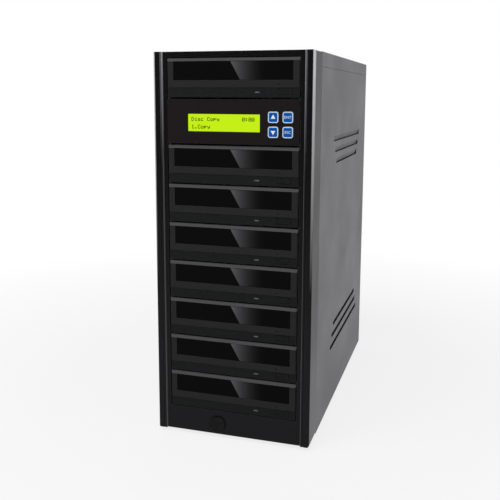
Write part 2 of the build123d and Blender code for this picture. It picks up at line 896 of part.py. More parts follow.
def drive_case(low):
    """Sheet box of one drive with the tray runners and the clamp bridge."""
    half = drive_width / 2
    base = low + (drive_face_height - drive_height) / 2
    high = base + drive_height
    inner = half - drive_sheet
    shell = block(-half, half, case_front, drive_back, base, high)
    shell -= block(-inner, inner, case_front, drive_back - drive_sheet,
                   base + drive_sheet, high - drive_sheet)
    tray_low = low + tray_bottom
    tray_high = tray_low + tray_thickness
    tray_side = tray_width / 2 + runner_gap
    ledge = tray_side - runner_width
    back = door_thickness - door_proud + tray_length
    start = case_front + runner_start
    runner = block(tray_side, inner, start, back, tray_low - runner_gap - runner_thickness,
                   tray_high + runner_gap + runner_thickness)
    runner += block(ledge, tray_side, start, back, tray_low - runner_gap - runner_thickness,
                    tray_low - runner_gap)
    runner += block(ledge, tray_side, start, back, tray_high + runner_gap,
                    tray_high + runner_gap + runner_thickness)
    shell += runner
    shell += mirrored(runner)
    bridge_low = bridge_bottom(low)
    bridge = block(-inner, inner, disc_depth - bridge_width / 2, disc_depth + bridge_width / 2,
                   bridge_low, bridge_low + bridge_sheet)
    bridge -= rod_z(clamp_neck_radius + bridge_hole_gap, bridge_low, bridge_low + bridge_sheet,
                    0, disc_depth)
    shell += bridge
    post_high = low + deck_bottom
    floor = base + drive_sheet
    post_x = deck_width / 2 - deck_post_size
    for x in (-post_x, post_x):
        for depth in deck_post_depths:
            shell += slab(x, case_front + depth, deck_post_size, deck_post_size, floor, post_high)
    for x in (-boss_x, boss_x):
        for depth in boss_depths:
            shell += rod_z(boss_radius, floor, floor + board_rise, x, case_front + depth)
    for y, z in side_screw_places():
        if low < z < high:
            hole = screw_radius + screw_hole_gap
            shell -= rod_x(hole, inner, half, y, z)
            shell -= rod_x(hole, -half, -inner, y, z)
    return shell


def turntable_top(low):
    """The disc sits just above the floor of the recess."""
    return low + tray_bottom + tray_thickness - disc_recess_depth + runner_gap + runner_rise


def bridge_bottom(low):
    return low + tray_bottom + tray_thickness + bridge_rise


def tray(low):
    """Disc tray with its glossy door, two disc recesses and the rear window."""
    front = door_thickness - door_proud
    back = front + tray_length
    half = tray_width / 2
    z0 = low + tray_bottom
    z1 = z0 + tray_thickness
    plate = block(-half, half, front, back, z0, z1)
    plate -= rod_z(disc_radius, z1 - disc_recess_depth, z1, 0, disc_depth)
    plate -= rod_z(small_disc_radius, z1 - disc_recess_depth - small_recess_depth, z1,
                  0, disc_depth)
    plate -= rod_z(window_half_width, z0, z1, 0, disc_depth)
    plate -= block(-window_half_width, window_half_width, disc_depth, back, z0, z1)
    door_half = door_width / 2
    door = block(-door_half, door_half, front - door_thickness, front,
                 low + door_bottom, low + door_bottom + door_height)
    return plate + door


def spindle(low):
    """Disc turntable on its motor shaft, and the clamp that spins with the disc."""
    top = turntable_top(low)
    table_low = top - turntable_thickness
    rotor_low = low + tray_bottom - rotor_drop
    piece = rod_z(turntable_radius, table_low, top, 0, disc_depth)
    hub = Cone(hub_radius, hub_radius * hub_taper, hub_height)
    piece += Pos(0, disc_depth, top + hub_height / 2) * hub
    piece += rod_z(rotor_radius, rotor_low, table_low, 0, disc_depth)
    piece += rod_z(shaft_radius, rotor_low - shaft_length, rotor_low, 0, disc_depth)
    bridge_low = bridge_bottom(low)
    clamp = rod_z(clamp_radius, bridge_low - clamp_gap - clamp_thickness,
                  bridge_low - clamp_gap, 0, disc_depth)
    neck_top = bridge_low + bridge_sheet + runner_gap
    clamp += rod_z(clamp_neck_radius, bridge_low - clamp_gap, neck_top, 0, disc_depth)
    clamp += rod_z(clamp_cap_radius, neck_top, neck_top + clamp_cap_thickness, 0, disc_depth)
    return [piece, clamp]


def eject_button(low):
    """Small rectangular push button with a stem that reaches its switch."""
    z = low + eject_middle
    front = step_depth - face_proud - eject_proud
    cap = rounded_bar(eject_width, eject_height, eject_corner, front, front + eject_length / 2,
                      eject_x, z)
    return cap + block(eject_x - eject_stem / 2, eject_x + eject_stem / 2,
                       front + eject_length / 2, front + eject_length,
                       z - eject_stem / 2, z + eject_stem / 2)


def traverse(low):
    """Fixed works of one drive: deck, motor base, rods, laser sled and board."""
    base = low + (drive_face_height - drive_height) / 2
    deck_low = low + deck_bottom
    deck_top = deck_low + deck_thickness
    half = deck_width / 2
    rotor_low = low + tray_bottom - rotor_drop
    start = case_front + deck_start
    deck = block(-half, half, start, start + deck_length, deck_low, deck_top)
    motor = rod_z(rotor_radius + 1, deck_top, rotor_low - fan_rotor_gap, 0, disc_depth)
    motor -= rod_z(shaft_radius + shaft_clearance, deck_top, rotor_low, 0, disc_depth)
    deck += motor
    rail_z = deck_top + rail_radius + rail_rise
    rail_start = disc_depth + rotor_radius + rail_gap
    ends = (rail_start, rail_start + rail_length)
    for x in (-rail_spread, rail_spread):
        for y in ends:
            deck += slab(x, y, rail_post_width, rail_post_length, deck_top,
                         rail_z + rail_radius + 1)
        deck += rod_y(rail_radius, ends[0], ends[1], x, rail_z)
    sled_y = (ends[0] + ends[1]) / 2
    sled_low = deck_top + seam
    sled_top = sled_low + sled_height
    sled = slab(0, sled_y, 2 * (rail_spread + rail_post_width), sled_length, sled_low, sled_top)
    for x in (-rail_spread, rail_spread):
        sled -= rod_y(rail_radius + shaft_clearance, ends[0], ends[1], x, rail_z)
    sled += rod_z(lens_radius, sled_top, sled_top + lens_height, 0, sled_y)
    board_low = base + drive_sheet + board_rise
    board_top = board_low + board_thickness
    board_front = case_front + board_start
    board = block(board_left, board_right, board_front, board_front + board_length,
                  board_low, board_top)
    switch_front = step_depth - face_proud - eject_proud + eject_length + eject_travel + seam
    switch_back = switch_front + switch_length
    half_switch = switch_width / 2
    board += block(eject_x - half_switch, eject_x + half_switch, switch_front, switch_back,
                   board_low, low + eject_middle + eject_stem)
    board += block(eject_x - half_switch, eject_x + half_switch, switch_back, board_front,
                   board_low, board_top)
    return [deck, sled, board]


def sockets(low):
    """Rear data and power sockets of one drive, on the outside of its case."""
    z = low + tray_bottom / 2
    data = block(data_plug_x - port_width, data_plug_x + port_width, drive_back,
                 drive_back + 1, z - port_height / 2, z + port_height / 2)
    power = block(power_plug_x - power_plug_width / 2, power_plug_x + power_plug_width / 2,
                  drive_back, drive_back + 1, z - port_height / 2, z + port_height / 2)
    return data + power


# ---- control panel -----------------------------------------------------------
def key_places():
    """Middle of each key: up, enter, down, escape."""
    top = panel_bottom + key_top
    right = key_left_x + key_pitch_x
    low = top - key_pitch_z
    return {
        "key_up": (key_left_x, top),
        "key_enter": (right, top),
        "key_down": (key_left_x, low),
        "key_escape": (right, low),
    }


def panel_rim_half():
    """Half width of the panel's rim, which seats between the cage walls."""
    return drive_width / 2 + cage_gap - seam


def control_panel():
    """Face of the control bay with the display window and key holes."""
    half = drive_face_width / 2
    front = -face_proud
    low = panel_bottom
    high = low + panel_face_height
    back = front + panel_thickness
    face = block(-half, half, front, back, low, high)
    rim = panel_rim_half()
    tray_back = back + panel_rim
    wall = block(-rim, rim, back, tray_back, low + frame_wall, high - frame_wall)
    wall -= block(-rim + frame_wall, rim - frame_wall, back, tray_back,
                  low + 2 * frame_wall, high - 2 * frame_wall)
    face += wall
    z = low + window_middle
    face -= block(window_x - window_width / 2, window_x + window_width / 2, front, back,
                  z - window_height / 2, z + window_height / 2)
    for x, key_z in key_places().values():
        face -= rounded_bar(key_width + 2 * key_gap, key_height + 2 * key_gap,
                            key_corner + key_gap, front, back, x, key_z)
    return face


def key(x, z):
    """One key: rounded cap with a retaining flange behind the panel."""
    front = -face_proud - key_proud
    back = -face_proud + panel_thickness
    cap = rounded_bar(key_width, key_height, key_corner, front, back + seam, x, z)
    cap = fillet(cap.edges().group_by(Axis.Y)[0], key_proud * bend_share)
    flange = block(x - key_width / 2 - key_flange, x + key_width / 2 + key_flange, back + seam,
                   back + seam + key_flange_thickness, z - key_height / 2 - key_flange,
                   z + key_height / 2 + key_flange)
    return cap + flange


def lcd_module():
    """Display: glass in its metal frame on a small board, and the key board."""
    back = -face_proud + panel_thickness
    z = panel_bottom + window_middle
    half_w = window_width / 2
    half_h = window_height / 2
    glass = block(window_x - half_w + seam, window_x + half_w - seam,
                  glass_recess - face_proud, back + seam, z - half_h + seam, z + half_h - seam)
    frame = block(window_x - half_w - module_rim, window_x + half_w + module_rim, back + seam,
                  back + seam + module_thickness, z - half_h - module_rim, z + half_h + module_rim)
    board_half = panel_rim_half() - frame_wall - seam
    board = block(-board_half, board_half, back + seam + module_thickness,
                  back + seam + module_thickness + board_thickness,
                  panel_bottom + 2 * frame_wall + seam,
                  panel_bottom + panel_face_height - 2 * frame_wall - seam)
    switch_front = back + seam + key_flange_thickness + key_travel + switch_gap
    for x, key_z in key_places().values():
        board += block(x - switch_half, x + switch_half, switch_front,
                       back + seam + module_thickness, key_z - switch_half, key_z + switch_half)
    return [glass + frame, board]


# ---- screws and cables -------------------------------------------------------
def rear_screw(x, z, face, head_radius, head_height):
    head = rod_y(head_radius, face, face + head_height, x, z)
    return head + rod_y(screw_radius, face - screw_length, face, x, z)


def side_screw(y, z):
    face = drive_width / 2 + cage_gap + cage_sheet
    head = rod_x(screw_head_radius, face, face + screw_head_height, y, z)
    return head + rod_x(screw_radius, face - side_screw_length, face, y, z)


def screws():
    """Every screw of the case, the fans, the supply and the drives."""
    pieces = []
    for z in thumb_heights():
        for x in (half_case - thumb_inset, thumb_inset - half_case):
            pieces.append(rear_screw(x, z, case_depth, thumb_radius, thumb_height))
    for x, z in cover_screws():
        pieces.append(rear_screw(x, z, case_depth, screw_head_radius, screw_head_height))
    for place in fan_places()[1:]:
        for x, z in fan_corners(*place):
            pieces.append(rear_screw(x, z, rear_outer, screw_head_radius, screw_head_height))
    for x, z in supply_corners():
        pieces.append(rear_screw(x, z, rear_outer, screw_head_radius, screw_head_height))
    for x, z in fan_corners(*fan_places()[0]):
        pieces.append(rear_screw(x, z, rear_inner - seam, screw_head_radius, screw_head_height))
    for y, z in side_screw_places():
        right = side_screw(y, z)
        pieces.append(right)
        pieces.append(mirrored(right))
    return pieces


def bend_radii(points):
    """The largest arc that each corner's two runs allow."""
    radii = []
    vectors = [Vector(*p) for p in points]
    for a, b, c in zip(vectors, vectors[1:], vectors[2:]):
        turn = (b - a).get_angle(c - b)
        run = min((b - a).length, (c - b).length)
        radii.append(bend_share * run / math.tan(math.radians(turn / 2)))
    return radii


def cable(points, radius):
    """A round cable along straight runs joined by tangent arcs."""
    radii = bend_radii(points)
    path = FilletPolyline(*points, radius=radii)
    section = Plane(origin=path @ 0, z_dir=path % 0) * Circle(radius)
    tube = sweep(section, path=path)
    expected = math.pi * radius**2 * path.length
    print(f"cable {path.length:.0f} mm, radii {[round(r, 1) for r in radii]}, "
          f"volume ratio {tube.volume / expected:.4f}")
    return tube


def plug(x, y0, y1, z, width, height):
    return block(x - width / 2, x + width / 2, y0, y1, z - height / 2, z + height / 2)


def sata_cables():
    """One data cable from each controller port to its drive."""
    _, board_back, board_low = controller_box()
    port_z = board_low + board_thickness + port_height / 2
    pieces = []
    lows = drive_bottoms()
    xs = sorted(data_ports(), key=lambda x: -abs(x - data_plug_x))
    for i, low in enumerate(lows):
        x = xs[i]
        drive_z = low + tray_bottom / 2
        plug_start = drive_back + 1
        lane = max(board_back, plug_start) + plug_length + data_lane_first + i * data_lane_pitch
        points = [
            (x, board_back + plug_length, port_z),
            (x, lane, port_z),
            (x, lane, drive_z),
            (data_plug_x, lane, drive_z),
            (data_plug_x, plug_start + plug_length, drive_z),
        ]
        pieces.append(cable(points, data_cable_radius))
        pieces.append(plug(x, board_back, board_back + plug_length, port_z, port_width,
                           data_plug_height))
        pieces.append(plug(data_plug_x, plug_start, plug_start + plug_length, drive_z,
                           data_plug_width, data_plug_height))
    return pieces


def power_harness():
    """Supply lead that runs from plug to plug down the drives."""
    x = power_plug_x
    plug_start = drive_back + 1
    plug_end = plug_start + power_plug_length
    heights = [low + tray_bottom / 2 for low in drive_bottoms()]
    pieces = []
    for z in heights:
        pieces.append(plug(x, plug_start, plug_end, z, power_plug_width, power_plug_height))
    for upper, lower in zip(heights, heights[1:]):
        top = upper - power_lead_spread / 2
        bottom = lower + power_lead_spread / 2
        points = [(x, plug_end, top), (x, plug_end + power_loop, top),
                  (x, plug_end + power_loop, bottom), (x, plug_end, bottom)]
        pieces.append(cable(points, power_link_radius))
    supply_front = rear_inner - seam - supply_length
    pieces.append(rod_y(power_cable_radius, plug_end, supply_front, x, heights[0]))
    _, board_back, board_low = controller_box()
    z = board_low + board_thickness + port_height / 2
    x = controller_power_x
    pieces.append(plug(x, board_back, board_back + plug_length, z, port_width, port_height))
    pieces.append(rod_y(power_cable_radius, board_back + plug_length, supply_front, x, z))
    return pieces


def main():
    os.makedirs("parts", exist_ok=True)
    lows = drive_bottoms()
    save("front_bezel", front_frame())
    save("power_button", power_button())
    save("rubber_feet", *rubber_feet())
    save("base_pan", base_pan())
    panel = side_panel()
    save("right_side_panel", panel)
    save("left_side_panel", mirrored(panel))
    save("top_cover", top_cover())
    save("rear_panel", rear_panel())
    save("psu_case", supply_case())
    save("power_inlet", power_inlet(), rocker_frame_piece())
    save("rocker_switch", rocker_switch())
    places = list(zip(fan_places(), fan_backs()))
    save("fan_frames", *[fan_frame(x, z, back) for (x, z), back in places])
    names = ("psu_fan_rotor", "rear_fan_rotor_upper", "rear_fan_rotor_lower")
    for name, ((x, z), back) in zip(names, places):
        save(name, fan_rotor(x, z, back))
    save("bay_cage", bay_cage())
    save("controller_board", controller_board())
    save("control_panel", control_panel())
    save("lcd_module", *lcd_module())
    for name, (x, z) in key_places().items():
        save(name, key(x, z))
    save("drive_bezels", *[drive_bezel(low) for low in lows])
    works = []
    for number, low in enumerate(lows, start=1):
        save(f"drive_{number}_case", drive_case(low) + sockets(low))
        save(f"tray_{number}", tray(low))
        save(f"spindle_{number}", *spindle(low))
        save(f"eject_button_{number}", eject_button(low))
        works += traverse(low)
    save("drive_traverses", *works)
    save("screws", *screws())
    save("sata_cables", *sata_cables())
    save("power_harness", *power_harness())


main()
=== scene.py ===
"""Looks of a stand-alone disc copying tower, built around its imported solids."""
import math

import bmesh
import bpy
from bpy.props import FloatProperty, FloatVectorProperty, PointerProperty, StringProperty
from mathutils import Matrix, Vector


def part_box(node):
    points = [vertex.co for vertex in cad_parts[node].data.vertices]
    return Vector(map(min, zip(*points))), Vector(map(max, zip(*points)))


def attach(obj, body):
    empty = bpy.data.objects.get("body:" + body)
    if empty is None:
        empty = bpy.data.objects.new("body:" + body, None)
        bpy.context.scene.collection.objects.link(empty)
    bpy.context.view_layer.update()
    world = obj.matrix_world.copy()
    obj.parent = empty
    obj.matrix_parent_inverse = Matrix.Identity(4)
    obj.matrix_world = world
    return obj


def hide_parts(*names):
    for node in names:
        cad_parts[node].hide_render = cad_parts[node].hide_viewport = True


bl_info = {
    "name": "Disc copying tower",
    "version": (1, 0, 0),
    "blender": (4, 5, 0),
    "location": "View3D > Sidebar > Tower",
    "description": "Finishes and details of a disc copying tower",
    "category": "Object",
}

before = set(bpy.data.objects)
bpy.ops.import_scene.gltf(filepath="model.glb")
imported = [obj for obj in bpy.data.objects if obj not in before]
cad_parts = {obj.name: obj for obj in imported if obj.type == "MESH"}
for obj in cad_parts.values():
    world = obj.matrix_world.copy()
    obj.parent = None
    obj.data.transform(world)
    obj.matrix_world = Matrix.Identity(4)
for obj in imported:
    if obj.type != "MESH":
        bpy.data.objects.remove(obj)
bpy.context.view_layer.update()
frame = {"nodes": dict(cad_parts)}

MM = 0.001
FRONT_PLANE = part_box("drive_bezels")[0][1] + 1.0 * MM
DRIVES = 8
FACE_PITCH = 43.5 * MM
LOWEST_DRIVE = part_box("drive_bezels")[0][2]
TOP_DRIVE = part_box("eject_button_1")[0][2] - 3.4 * MM
TOP_DRIVE_SHIFT = TOP_DRIVE - LOWEST_DRIVE - (DRIVES - 1) * FACE_PITCH
BODY = "case"

# Depths behind the case's front plane.
POST_FACE = -0.3 * MM
POST_ROUND = 1.6 * MM
DOOR_BACK = 2.9 * MM
GLASS_BACK = 2.25 * MM
BOARD_FRONT = 7.25 * MM
LAMP_FRONT = -0.12 * MM
LAMP_BACK = 0.62 * MM
GLASS_FACE = 0.2 * MM

# Distances of the front frame's painted highlights and painted side light from the middle, and heights between
# which this painted light fades.
STRIP_SPAN = (80.2 * MM, 82.2 * MM)
INNER_EDGE_SPAN = (79.2 * MM, 80.4 * MM)
CORNER_SPAN = (87.6 * MM, 88.4 * MM)
CHEEK_SPAN = (89.85 * MM, 89.95 * MM)
STRIP_FADE = (0.31, 0.43)
INNER_EDGE_FADE = (0.33, 0.43)
CORNER_FADE = (0.18, 0.43)
LOWER_LIGHT_FADE = (0.1, 0.34)
SIDE_LIGHT_FADE = (0.0, 0.2)

# Heights on one drive face.
STRIP_TOP = (10.4 * MM, 10.7 * MM)
# Height from which the top bevel gets its painted highlight.
BEVEL_HIGHLIGHT_START = (38.0 * MM, 38.3 * MM)

# The slanted half of a tray door.
SLANT = 0.564
SLANT_START = 19.4 * MM
SLANT_SOFT = 0.4 * MM
SLANT_FADE = (-1.0 * MM, 40.0 * MM)
SLANT_POWER = 2.5

BUTTON_LINE = 0.9 * MM
LAMP_X = 28 * MM
LAMP_DROP = 0.7 * MM

# The rim painted on a key, and the display's first character.
KEY_HALF = (5.65 * MM, 5.9 * MM)
KEY_ROUND = 2.4 * MM
RIM_WIDTH = (1.15 * MM, 0.95 * MM)
SIGN_DEPTH = 0.1 * MM
TEXT_LEFT = -46.4 * MM
TEXT_RISE = 28.7 * MM
DOT_DEPTH = 0.06 * MM
DOT_ROWS = 7

# Blades of the inlet and marks of the rocker.
INLET_RISE = 13.0 * MM
BLADE_PLACES = ((-7.0 * MM, -2.0 * MM), (7.0 * MM, -2.0 * MM), (0.0, 2.0 * MM))
BLADE_HALF = (1.2 * MM, 2.2 * MM)
SOCKET_DEPTH = 15.9 * MM
MARK_HALF = 0.28 * MM
BAR_SPAN = (1.5 * MM, 4.0 * MM)
RING_DROP = 2.8 * MM
RING_SPAN = (0.85 * MM, 1.4 * MM)

# The controller board and the vents.
BOARD_TOP = 1.65 * MM
SINK_RISE = 4.2 * MM
SINK_EDGE = -3 * MM
VENT_DEPTH = 0.15 * MM
# Share of the coat's colour left on the vent blades: a painted shade.
VENT_PAINTED_SHADE = 0.45

# Screws: sides of the round, sides taken by one rib and its gap, share of the radius left in a
# gap, turn from one screw to the next, and the radius from which a head is a thumb screw's.
SCREW_SIDES = 48
RIB_SIDES = 4
RIB_SHARE = 0.95
SCREW_TURN = 2.4
SCREW_POINT = 0.5 * MM
THUMB_RADIUS = 5 * MM


def tone(red, green, blue):
    """Screen values from 0 to 255 as a linear colour."""
    linear = []
    for level in (red, green, blue):
        share = level / 255
        linear.append(share / 12.92 if share <= 0.04045 else ((share + 0.055) / 1.055) ** 2.4)
    return (*linear, 1.0)


def colour(name, description, level):
    return FloatVectorProperty(name=name, description=description, subtype="COLOR", size=4,
                               min=0, max=1, default=tone(*level))


def length(name, description, millimetres):
    return FloatProperty(name=name, description=description, subtype="DISTANCE", unit="LENGTH",
                         default=millimetres * MM)


class TowerColours(bpy.types.PropertyGroup):
    """Colours of the tower's finishes, with its painted highlights and painted light."""
    frame: colour("Front frame", "Moulded front frame", (9, 9, 10))
    # Painted light: the front frame's outer side is painted lighter than its front, standing in for the light
    # falling on that side.
    side_painted_light: colour("Frame cheek", "Outer side of the front frame", (36, 36, 39))
    # Painted light: the front frame is painted lighter towards the bottom.
    lower: colour("Lower frame", "Lower part of the front frame", (31, 31, 33))
    # Painted highlights: the post strips, inner edges and rounded corners are painted light in place of
    # reflections.
    strip_painted_highlight: colour("Post sheen", "Satin strip along each front post", (92, 92, 96))
    corner_painted_highlight: colour("Corner sheen", "Rounded corners of each front post", (222, 222, 226))
    bezel: colour("Drive face", "Textured face of each drive", (35, 35, 36))
    strip: colour("Lower strip", "Stepped strip of each drive face", (19, 20, 21))
    # Painted highlight: the top bevel is painted light grey, standing in for the light it catches from above.
    bevel: colour("Top bevel", "Bevel along the top of each drive face", (76, 75, 77))
    door: colour("Tray door", "Glossy tray door", (1, 1, 1))
    door_sheen: colour("Door sheen", "Lightest grey of the door's slanted half", (92, 92, 95))
    tray: colour("Tray", "Matt tray behind the door", (38, 38, 40))
    overlay: colour("Control face", "Face around the display and keys", (25, 20, 21))
    display: colour("Display", "Lit display", (198, 241, 2))
    characters: colour("Characters", "Dark points of the display", (16, 24, 0))
    key: colour("Key", "Key top", (0, 88, 182))
    key_rim: colour("Key rim", "Pale rim and signs of the keys", (218, 236, 252))
    coat: colour("Case coat", "Textured paint of the steel case", (99, 99, 104))
    zinc: colour("Zinc", "Plated sheet inside and behind", (168, 170, 172))
    board: colour("Board", "Circuit boards", (22, 92, 50))
    chip: colour("Chip", "Parts on the controller board", (26, 26, 28))
    heat_sink: colour("Heat sink", "Heat sink on the controller board", (150, 152, 155))
    blade: colour("Inlet blade", "Blades of the mains inlet", (196, 194, 188))
    mark: colour("Rocker mark", "Marks on the mains rocker", (225, 225, 222))


class TowerSizes(bpy.types.PropertyGroup):
    """Sizes of the details."""
    lamp_width: length("Lamp width", "Width of a drive's lamp lens", 5.2)
    lamp_height: length("Lamp height", "Height of a drive's lamp lens", 1.4)
    lamp_corner: length("Lamp corner", "Rounding of a drive's lamp lens", 0.3)
    sign_height: length("Sign height", "Height of the letters on the keys", 2.9)
    arrow_width: length("Arrow width", "Width of the arrows on the keys", 5.2)
    dot: length("Display dot", "Side of one point of the display", 0.7)
    dot_pitch: length("Dot pitch", "Distance between points of the display", 0.6)
    cell_pitch: length("Cell pitch", "Distance between characters", 3.6)
    row_pitch: length("Row pitch", "Distance between the display's rows", 8.2)
    thumb_head: length("Thumb head", "Height of a thumb screw's head", 6.0)
    plain_head: length("Plain head", "Height of a plain screw's head", 2.0)
    shank: length("Screw shank", "Radius of a screw's shank", 1.75)


class TowerStage(bpy.types.PropertyGroup):
    """Camera."""
    eye: FloatVectorProperty(name="Eye", description="Place of the camera", subtype="TRANSLATION",
                             size=3, default=(0.242968, -0.913860, 0.389728))
    turn: FloatProperty(name="Turn", description="Camera's turn about the vertical",
                        subtype="ANGLE", default=0.2968)
    tilt: FloatProperty(name="Tilt", description="Camera's tilt, up is positive",
                        subtype="ANGLE", default=-0.1581)
    roll: FloatProperty(name="Roll", description="Camera's roll", subtype="ANGLE", default=0.0033)
    lens: FloatProperty(name="Lens", description="Focal length in millimetres", default=51.326)
    shift: FloatProperty(name="Shift", description="Vertical shift of the lens", default=-0.08)


# ---- materials ---------------------------------------------------------------
class Graph:
    """Short ways to add and join nodes in one tree."""

    def __init__(self, tree):
        self.tree = tree

    def add(self, kind, **settings):
        node = self.tree.nodes.new(kind)
        for key, value in settings.items():
            setattr(node, key, value)
        return node

    def join(self, source, target):
        if isinstance(source, (int, float)):
            target.default_value = source
        elif isinstance(source, (tuple, list)) or hasattr(source, "foreach_get"):
            target.default_value = source[:len(target.default_value)]
        else:
            self.tree.links.new(source, target)

    def math(self, operation, *values, clamp=False):
        node = self.add("ShaderNodeMath", operation=operation, use_clamp=clamp)
        for value, socket in zip(values, node.inputs):
            self.join(value, socket)
        return node.outputs[0]

    def blend(self, share, first, second):
        node = self.add("ShaderNodeMix", data_type="RGBA")
        self.join(share, node.inputs["Factor"])
        self.join(first, node.inputs[6])
        self.join(second, node.inputs[7])
        return node.outputs[2]

    def ramp(self, value, low, high, to_low=0.0, to_high=1.0):
        node = self.add("ShaderNodeMapRange", clamp=True)
        for amount, name in ((value, "Value"), (low, "From Min"), (high, "From Max"),
                             (to_low, "To Min"), (to_high, "To Max")):
            self.join(amount, node.inputs[name])
        return node.outputs[0]

    def noise(self, place, scale, detail=2.0):
        node = self.add("ShaderNodeTexNoise")
        self.join(place, node.inputs["Vector"])
        self.join(scale, node.inputs["Scale"])
        node.inputs["Detail"].default_value = detail
        return node.outputs["Fac"]

    def away(self, value, middle):
        """Distance of a value from a middle."""
        return self.math("ABSOLUTE", self.math("SUBTRACT", value, middle))

    def reach(self, across, rise):
        """Length of the two sides' diagonal."""
        squares = self.math("ADD", self.math("MULTIPLY", across, across), self.math("MULTIPLY", rise, rise))
        return self.math("SQRT", squares)

    def below(self, value, limit):
        return self.math("LESS_THAN", value, limit)

    def above(self, value, limit):
        return self.math("GREATER_THAN", value, limit)

    def both(self, first, second):
        """1 where both masks are 1."""
        return self.math("MULTIPLY", first, second)

    def place(self):
        return self.add("ShaderNodeTexCoord").outputs["Object"]

    def axes(self, place):
        node = self.add("ShaderNodeSeparateXYZ")
        self.join(place, node.inputs[0])
        return node.outputs


def group(name, inputs, outputs):
    """A new shader node group with named sockets."""
    tree = bpy.data.node_groups.new(name, "ShaderNodeTree")
    for label, kind, default in inputs:
        socket = tree.interface.new_socket(label, in_out="INPUT", socket_type=kind)
        if default is not None:
            socket.default_value = default
    for label, kind in outputs:
        tree.interface.new_socket(label, in_out="OUTPUT", socket_type=kind)
    graph = Graph(tree)
    return tree, graph, graph.add("NodeGroupInput").outputs, graph.add("NodeGroupOutput").inputs


def fine_grain_group():
    """Small moulded or sprayed grain: a height, a mask of light specks and a wide variation."""
    tree, graph, given, out = group(
        "fine grain",
        [("Vector", "NodeSocketVector", None), ("Scale", "NodeSocketFloat", 1500.0)],
        [("Height", "NodeSocketFloat"), ("Specks", "NodeSocketFloat"), ("Cloud", "NodeSocketFloat")],
    )
    fine = graph.noise(given["Vector"], given["Scale"], 3.0)
    coarse = graph.noise(given["Vector"], graph.math("MULTIPLY", given["Scale"], 0.35), 2.0)
    graph.join(graph.math("ADD", graph.math("MULTIPLY", fine, 0.6),
                          graph.math("MULTIPLY", coarse, 0.4)), out["Height"])
    graph.join(graph.ramp(fine, 0.58, 0.72), out["Specks"])
    graph.join(graph.noise(given["Vector"], 14.0, 3.0), out["Cloud"])
    return tree


def rub_group():
    """Edge rub: a mask that is 1 where a bevelled normal leaves the face's own."""
    tree, graph, given, out = group(
        "edge rub",
        [("Radius", "NodeSocketFloat", 0.0005), ("Height", "NodeSocketFloat", 0.0),
         ("Depth", "NodeSocketFloat", 0.00002)],
        [("Mask", "NodeSocketFloat"), ("Normal", "NodeSocketVector")],
    )
    bevel = graph.add("ShaderNodeBevel", samples=4)
    graph.join(given["Radius"], bevel.inputs["Radius"])
    plain = graph.add("ShaderNodeNewGeometry").outputs["True Normal"]
    dot = graph.add("ShaderNodeVectorMath", operation="DOT_PRODUCT")
    graph.join(bevel.outputs[0], dot.inputs[0])
    graph.join(plain, dot.inputs[1])
    graph.join(graph.ramp(dot.outputs["Value"], 0.995, 0.75), out["Mask"])
    bump = graph.add("ShaderNodeBump")
    graph.join(given["Height"], bump.inputs["Height"])
    graph.join(given["Depth"], bump.inputs["Distance"])
    graph.join(bevel.outputs[0], bump.inputs["Normal"])
    graph.join(bump.outputs[0], out["Normal"])
    return tree


def drive_height_group():
    """Height above the bottom of the drive that a point belongs to."""
    tree, graph, given, out = group("height on drive", [("Height", "NodeSocketFloat", 0.0)],
                                    [("Local", "NodeSocketFloat")])
    top = graph.math("GREATER_THAN", given["Height"], TOP_DRIVE - 0.5 * MM)
    shifted = graph.math("SUBTRACT", given["Height"], graph.math("MULTIPLY", top, TOP_DRIVE_SHIFT))
    above = graph.math("SUBTRACT", shifted, LOWEST_DRIVE - 0.5 * MM)
    local = graph.math("FLOORED_MODULO", above, FACE_PITCH)
    graph.join(graph.math("SUBTRACT", local, 0.5 * MM), out["Local"])
    return tree


def use(graph, name, **values):
    """Places a node group, made at its first use."""
    tree = bpy.data.node_groups.get(name) or GROUPS[name]()
    node = graph.add("ShaderNodeGroup", node_tree=tree)
    for key, value in values.items():
        graph.join(value, node.inputs[key])
    return node.outputs


GROUPS = {"fine grain": fine_grain_group, "edge rub": rub_group, "height on drive": drive_height_group}


def finish(name, base, roughness, grain=1500.0, depth=0.02, edge=0.4, rub=0.15, speck=0.1,
           metal=0.0, coat=0.0, shine=0.5, paint=None, glow=None):
    """A material: base colour, grain, rubbed edges and, by paint, a pattern of its own or painted light and
    shade.
    """
    material = bpy.data.materials.new(name)
    material.use_nodes = True
    graph = Graph(material.node_tree)
    shader = material.node_tree.nodes["Principled BSDF"]
    place = graph.place()
    grains = use(graph, "fine grain", Vector=place, Scale=grain)
    edges = use(graph, "edge rub", Radius=edge * MM, Height=grains["Height"], Depth=depth * MM)
    tint = paint(graph, place, base) if paint else base
    light = graph.blend(0.5, tint, (1, 1, 1, 1)) if rub or speck else tint
    if speck:
        tint = graph.blend(graph.math("MULTIPLY", grains["Specks"], speck), tint, light)
    if rub:
        tint = graph.blend(graph.math("MULTIPLY", edges["Mask"], rub), tint, light)
    graph.join(tint, shader.inputs["Base Color"])
    graph.join(graph.ramp(grains["Cloud"], 0.3, 0.7, roughness * 0.88, min(roughness * 1.12, 1.0)),
               shader.inputs["Roughness"])
    graph.join(edges["Normal"], shader.inputs["Normal"])
    shader.inputs["Metallic"].default_value = metal
    shader.inputs["Specular IOR Level"].default_value = shine
    shader.inputs["Coat Weight"].default_value = coat
    shader.inputs["Coat Roughness"].default_value = 0.08
    if glow:
        graph.join(glow(graph, place), shader.inputs["Emission Color"])
        shader.inputs["Emission Strength"].default_value = 0.97
    return material


def dress(material, *nodes):
    """Gives CAD nodes their material."""
    for name in nodes:
        mesh = frame["nodes"][name].data
        mesh.materials.clear()
        mesh.materials.append(material)


def colours():
    return bpy.context.scene.tower_colours


def sizes():
    return bpy.context.scene.tower_sizes


# ---- mesh helpers ------------------------------------------------------------
def from_front(y):
    """Depth of a point that is y behind the case's front plane."""
    return FRONT_PLANE + y


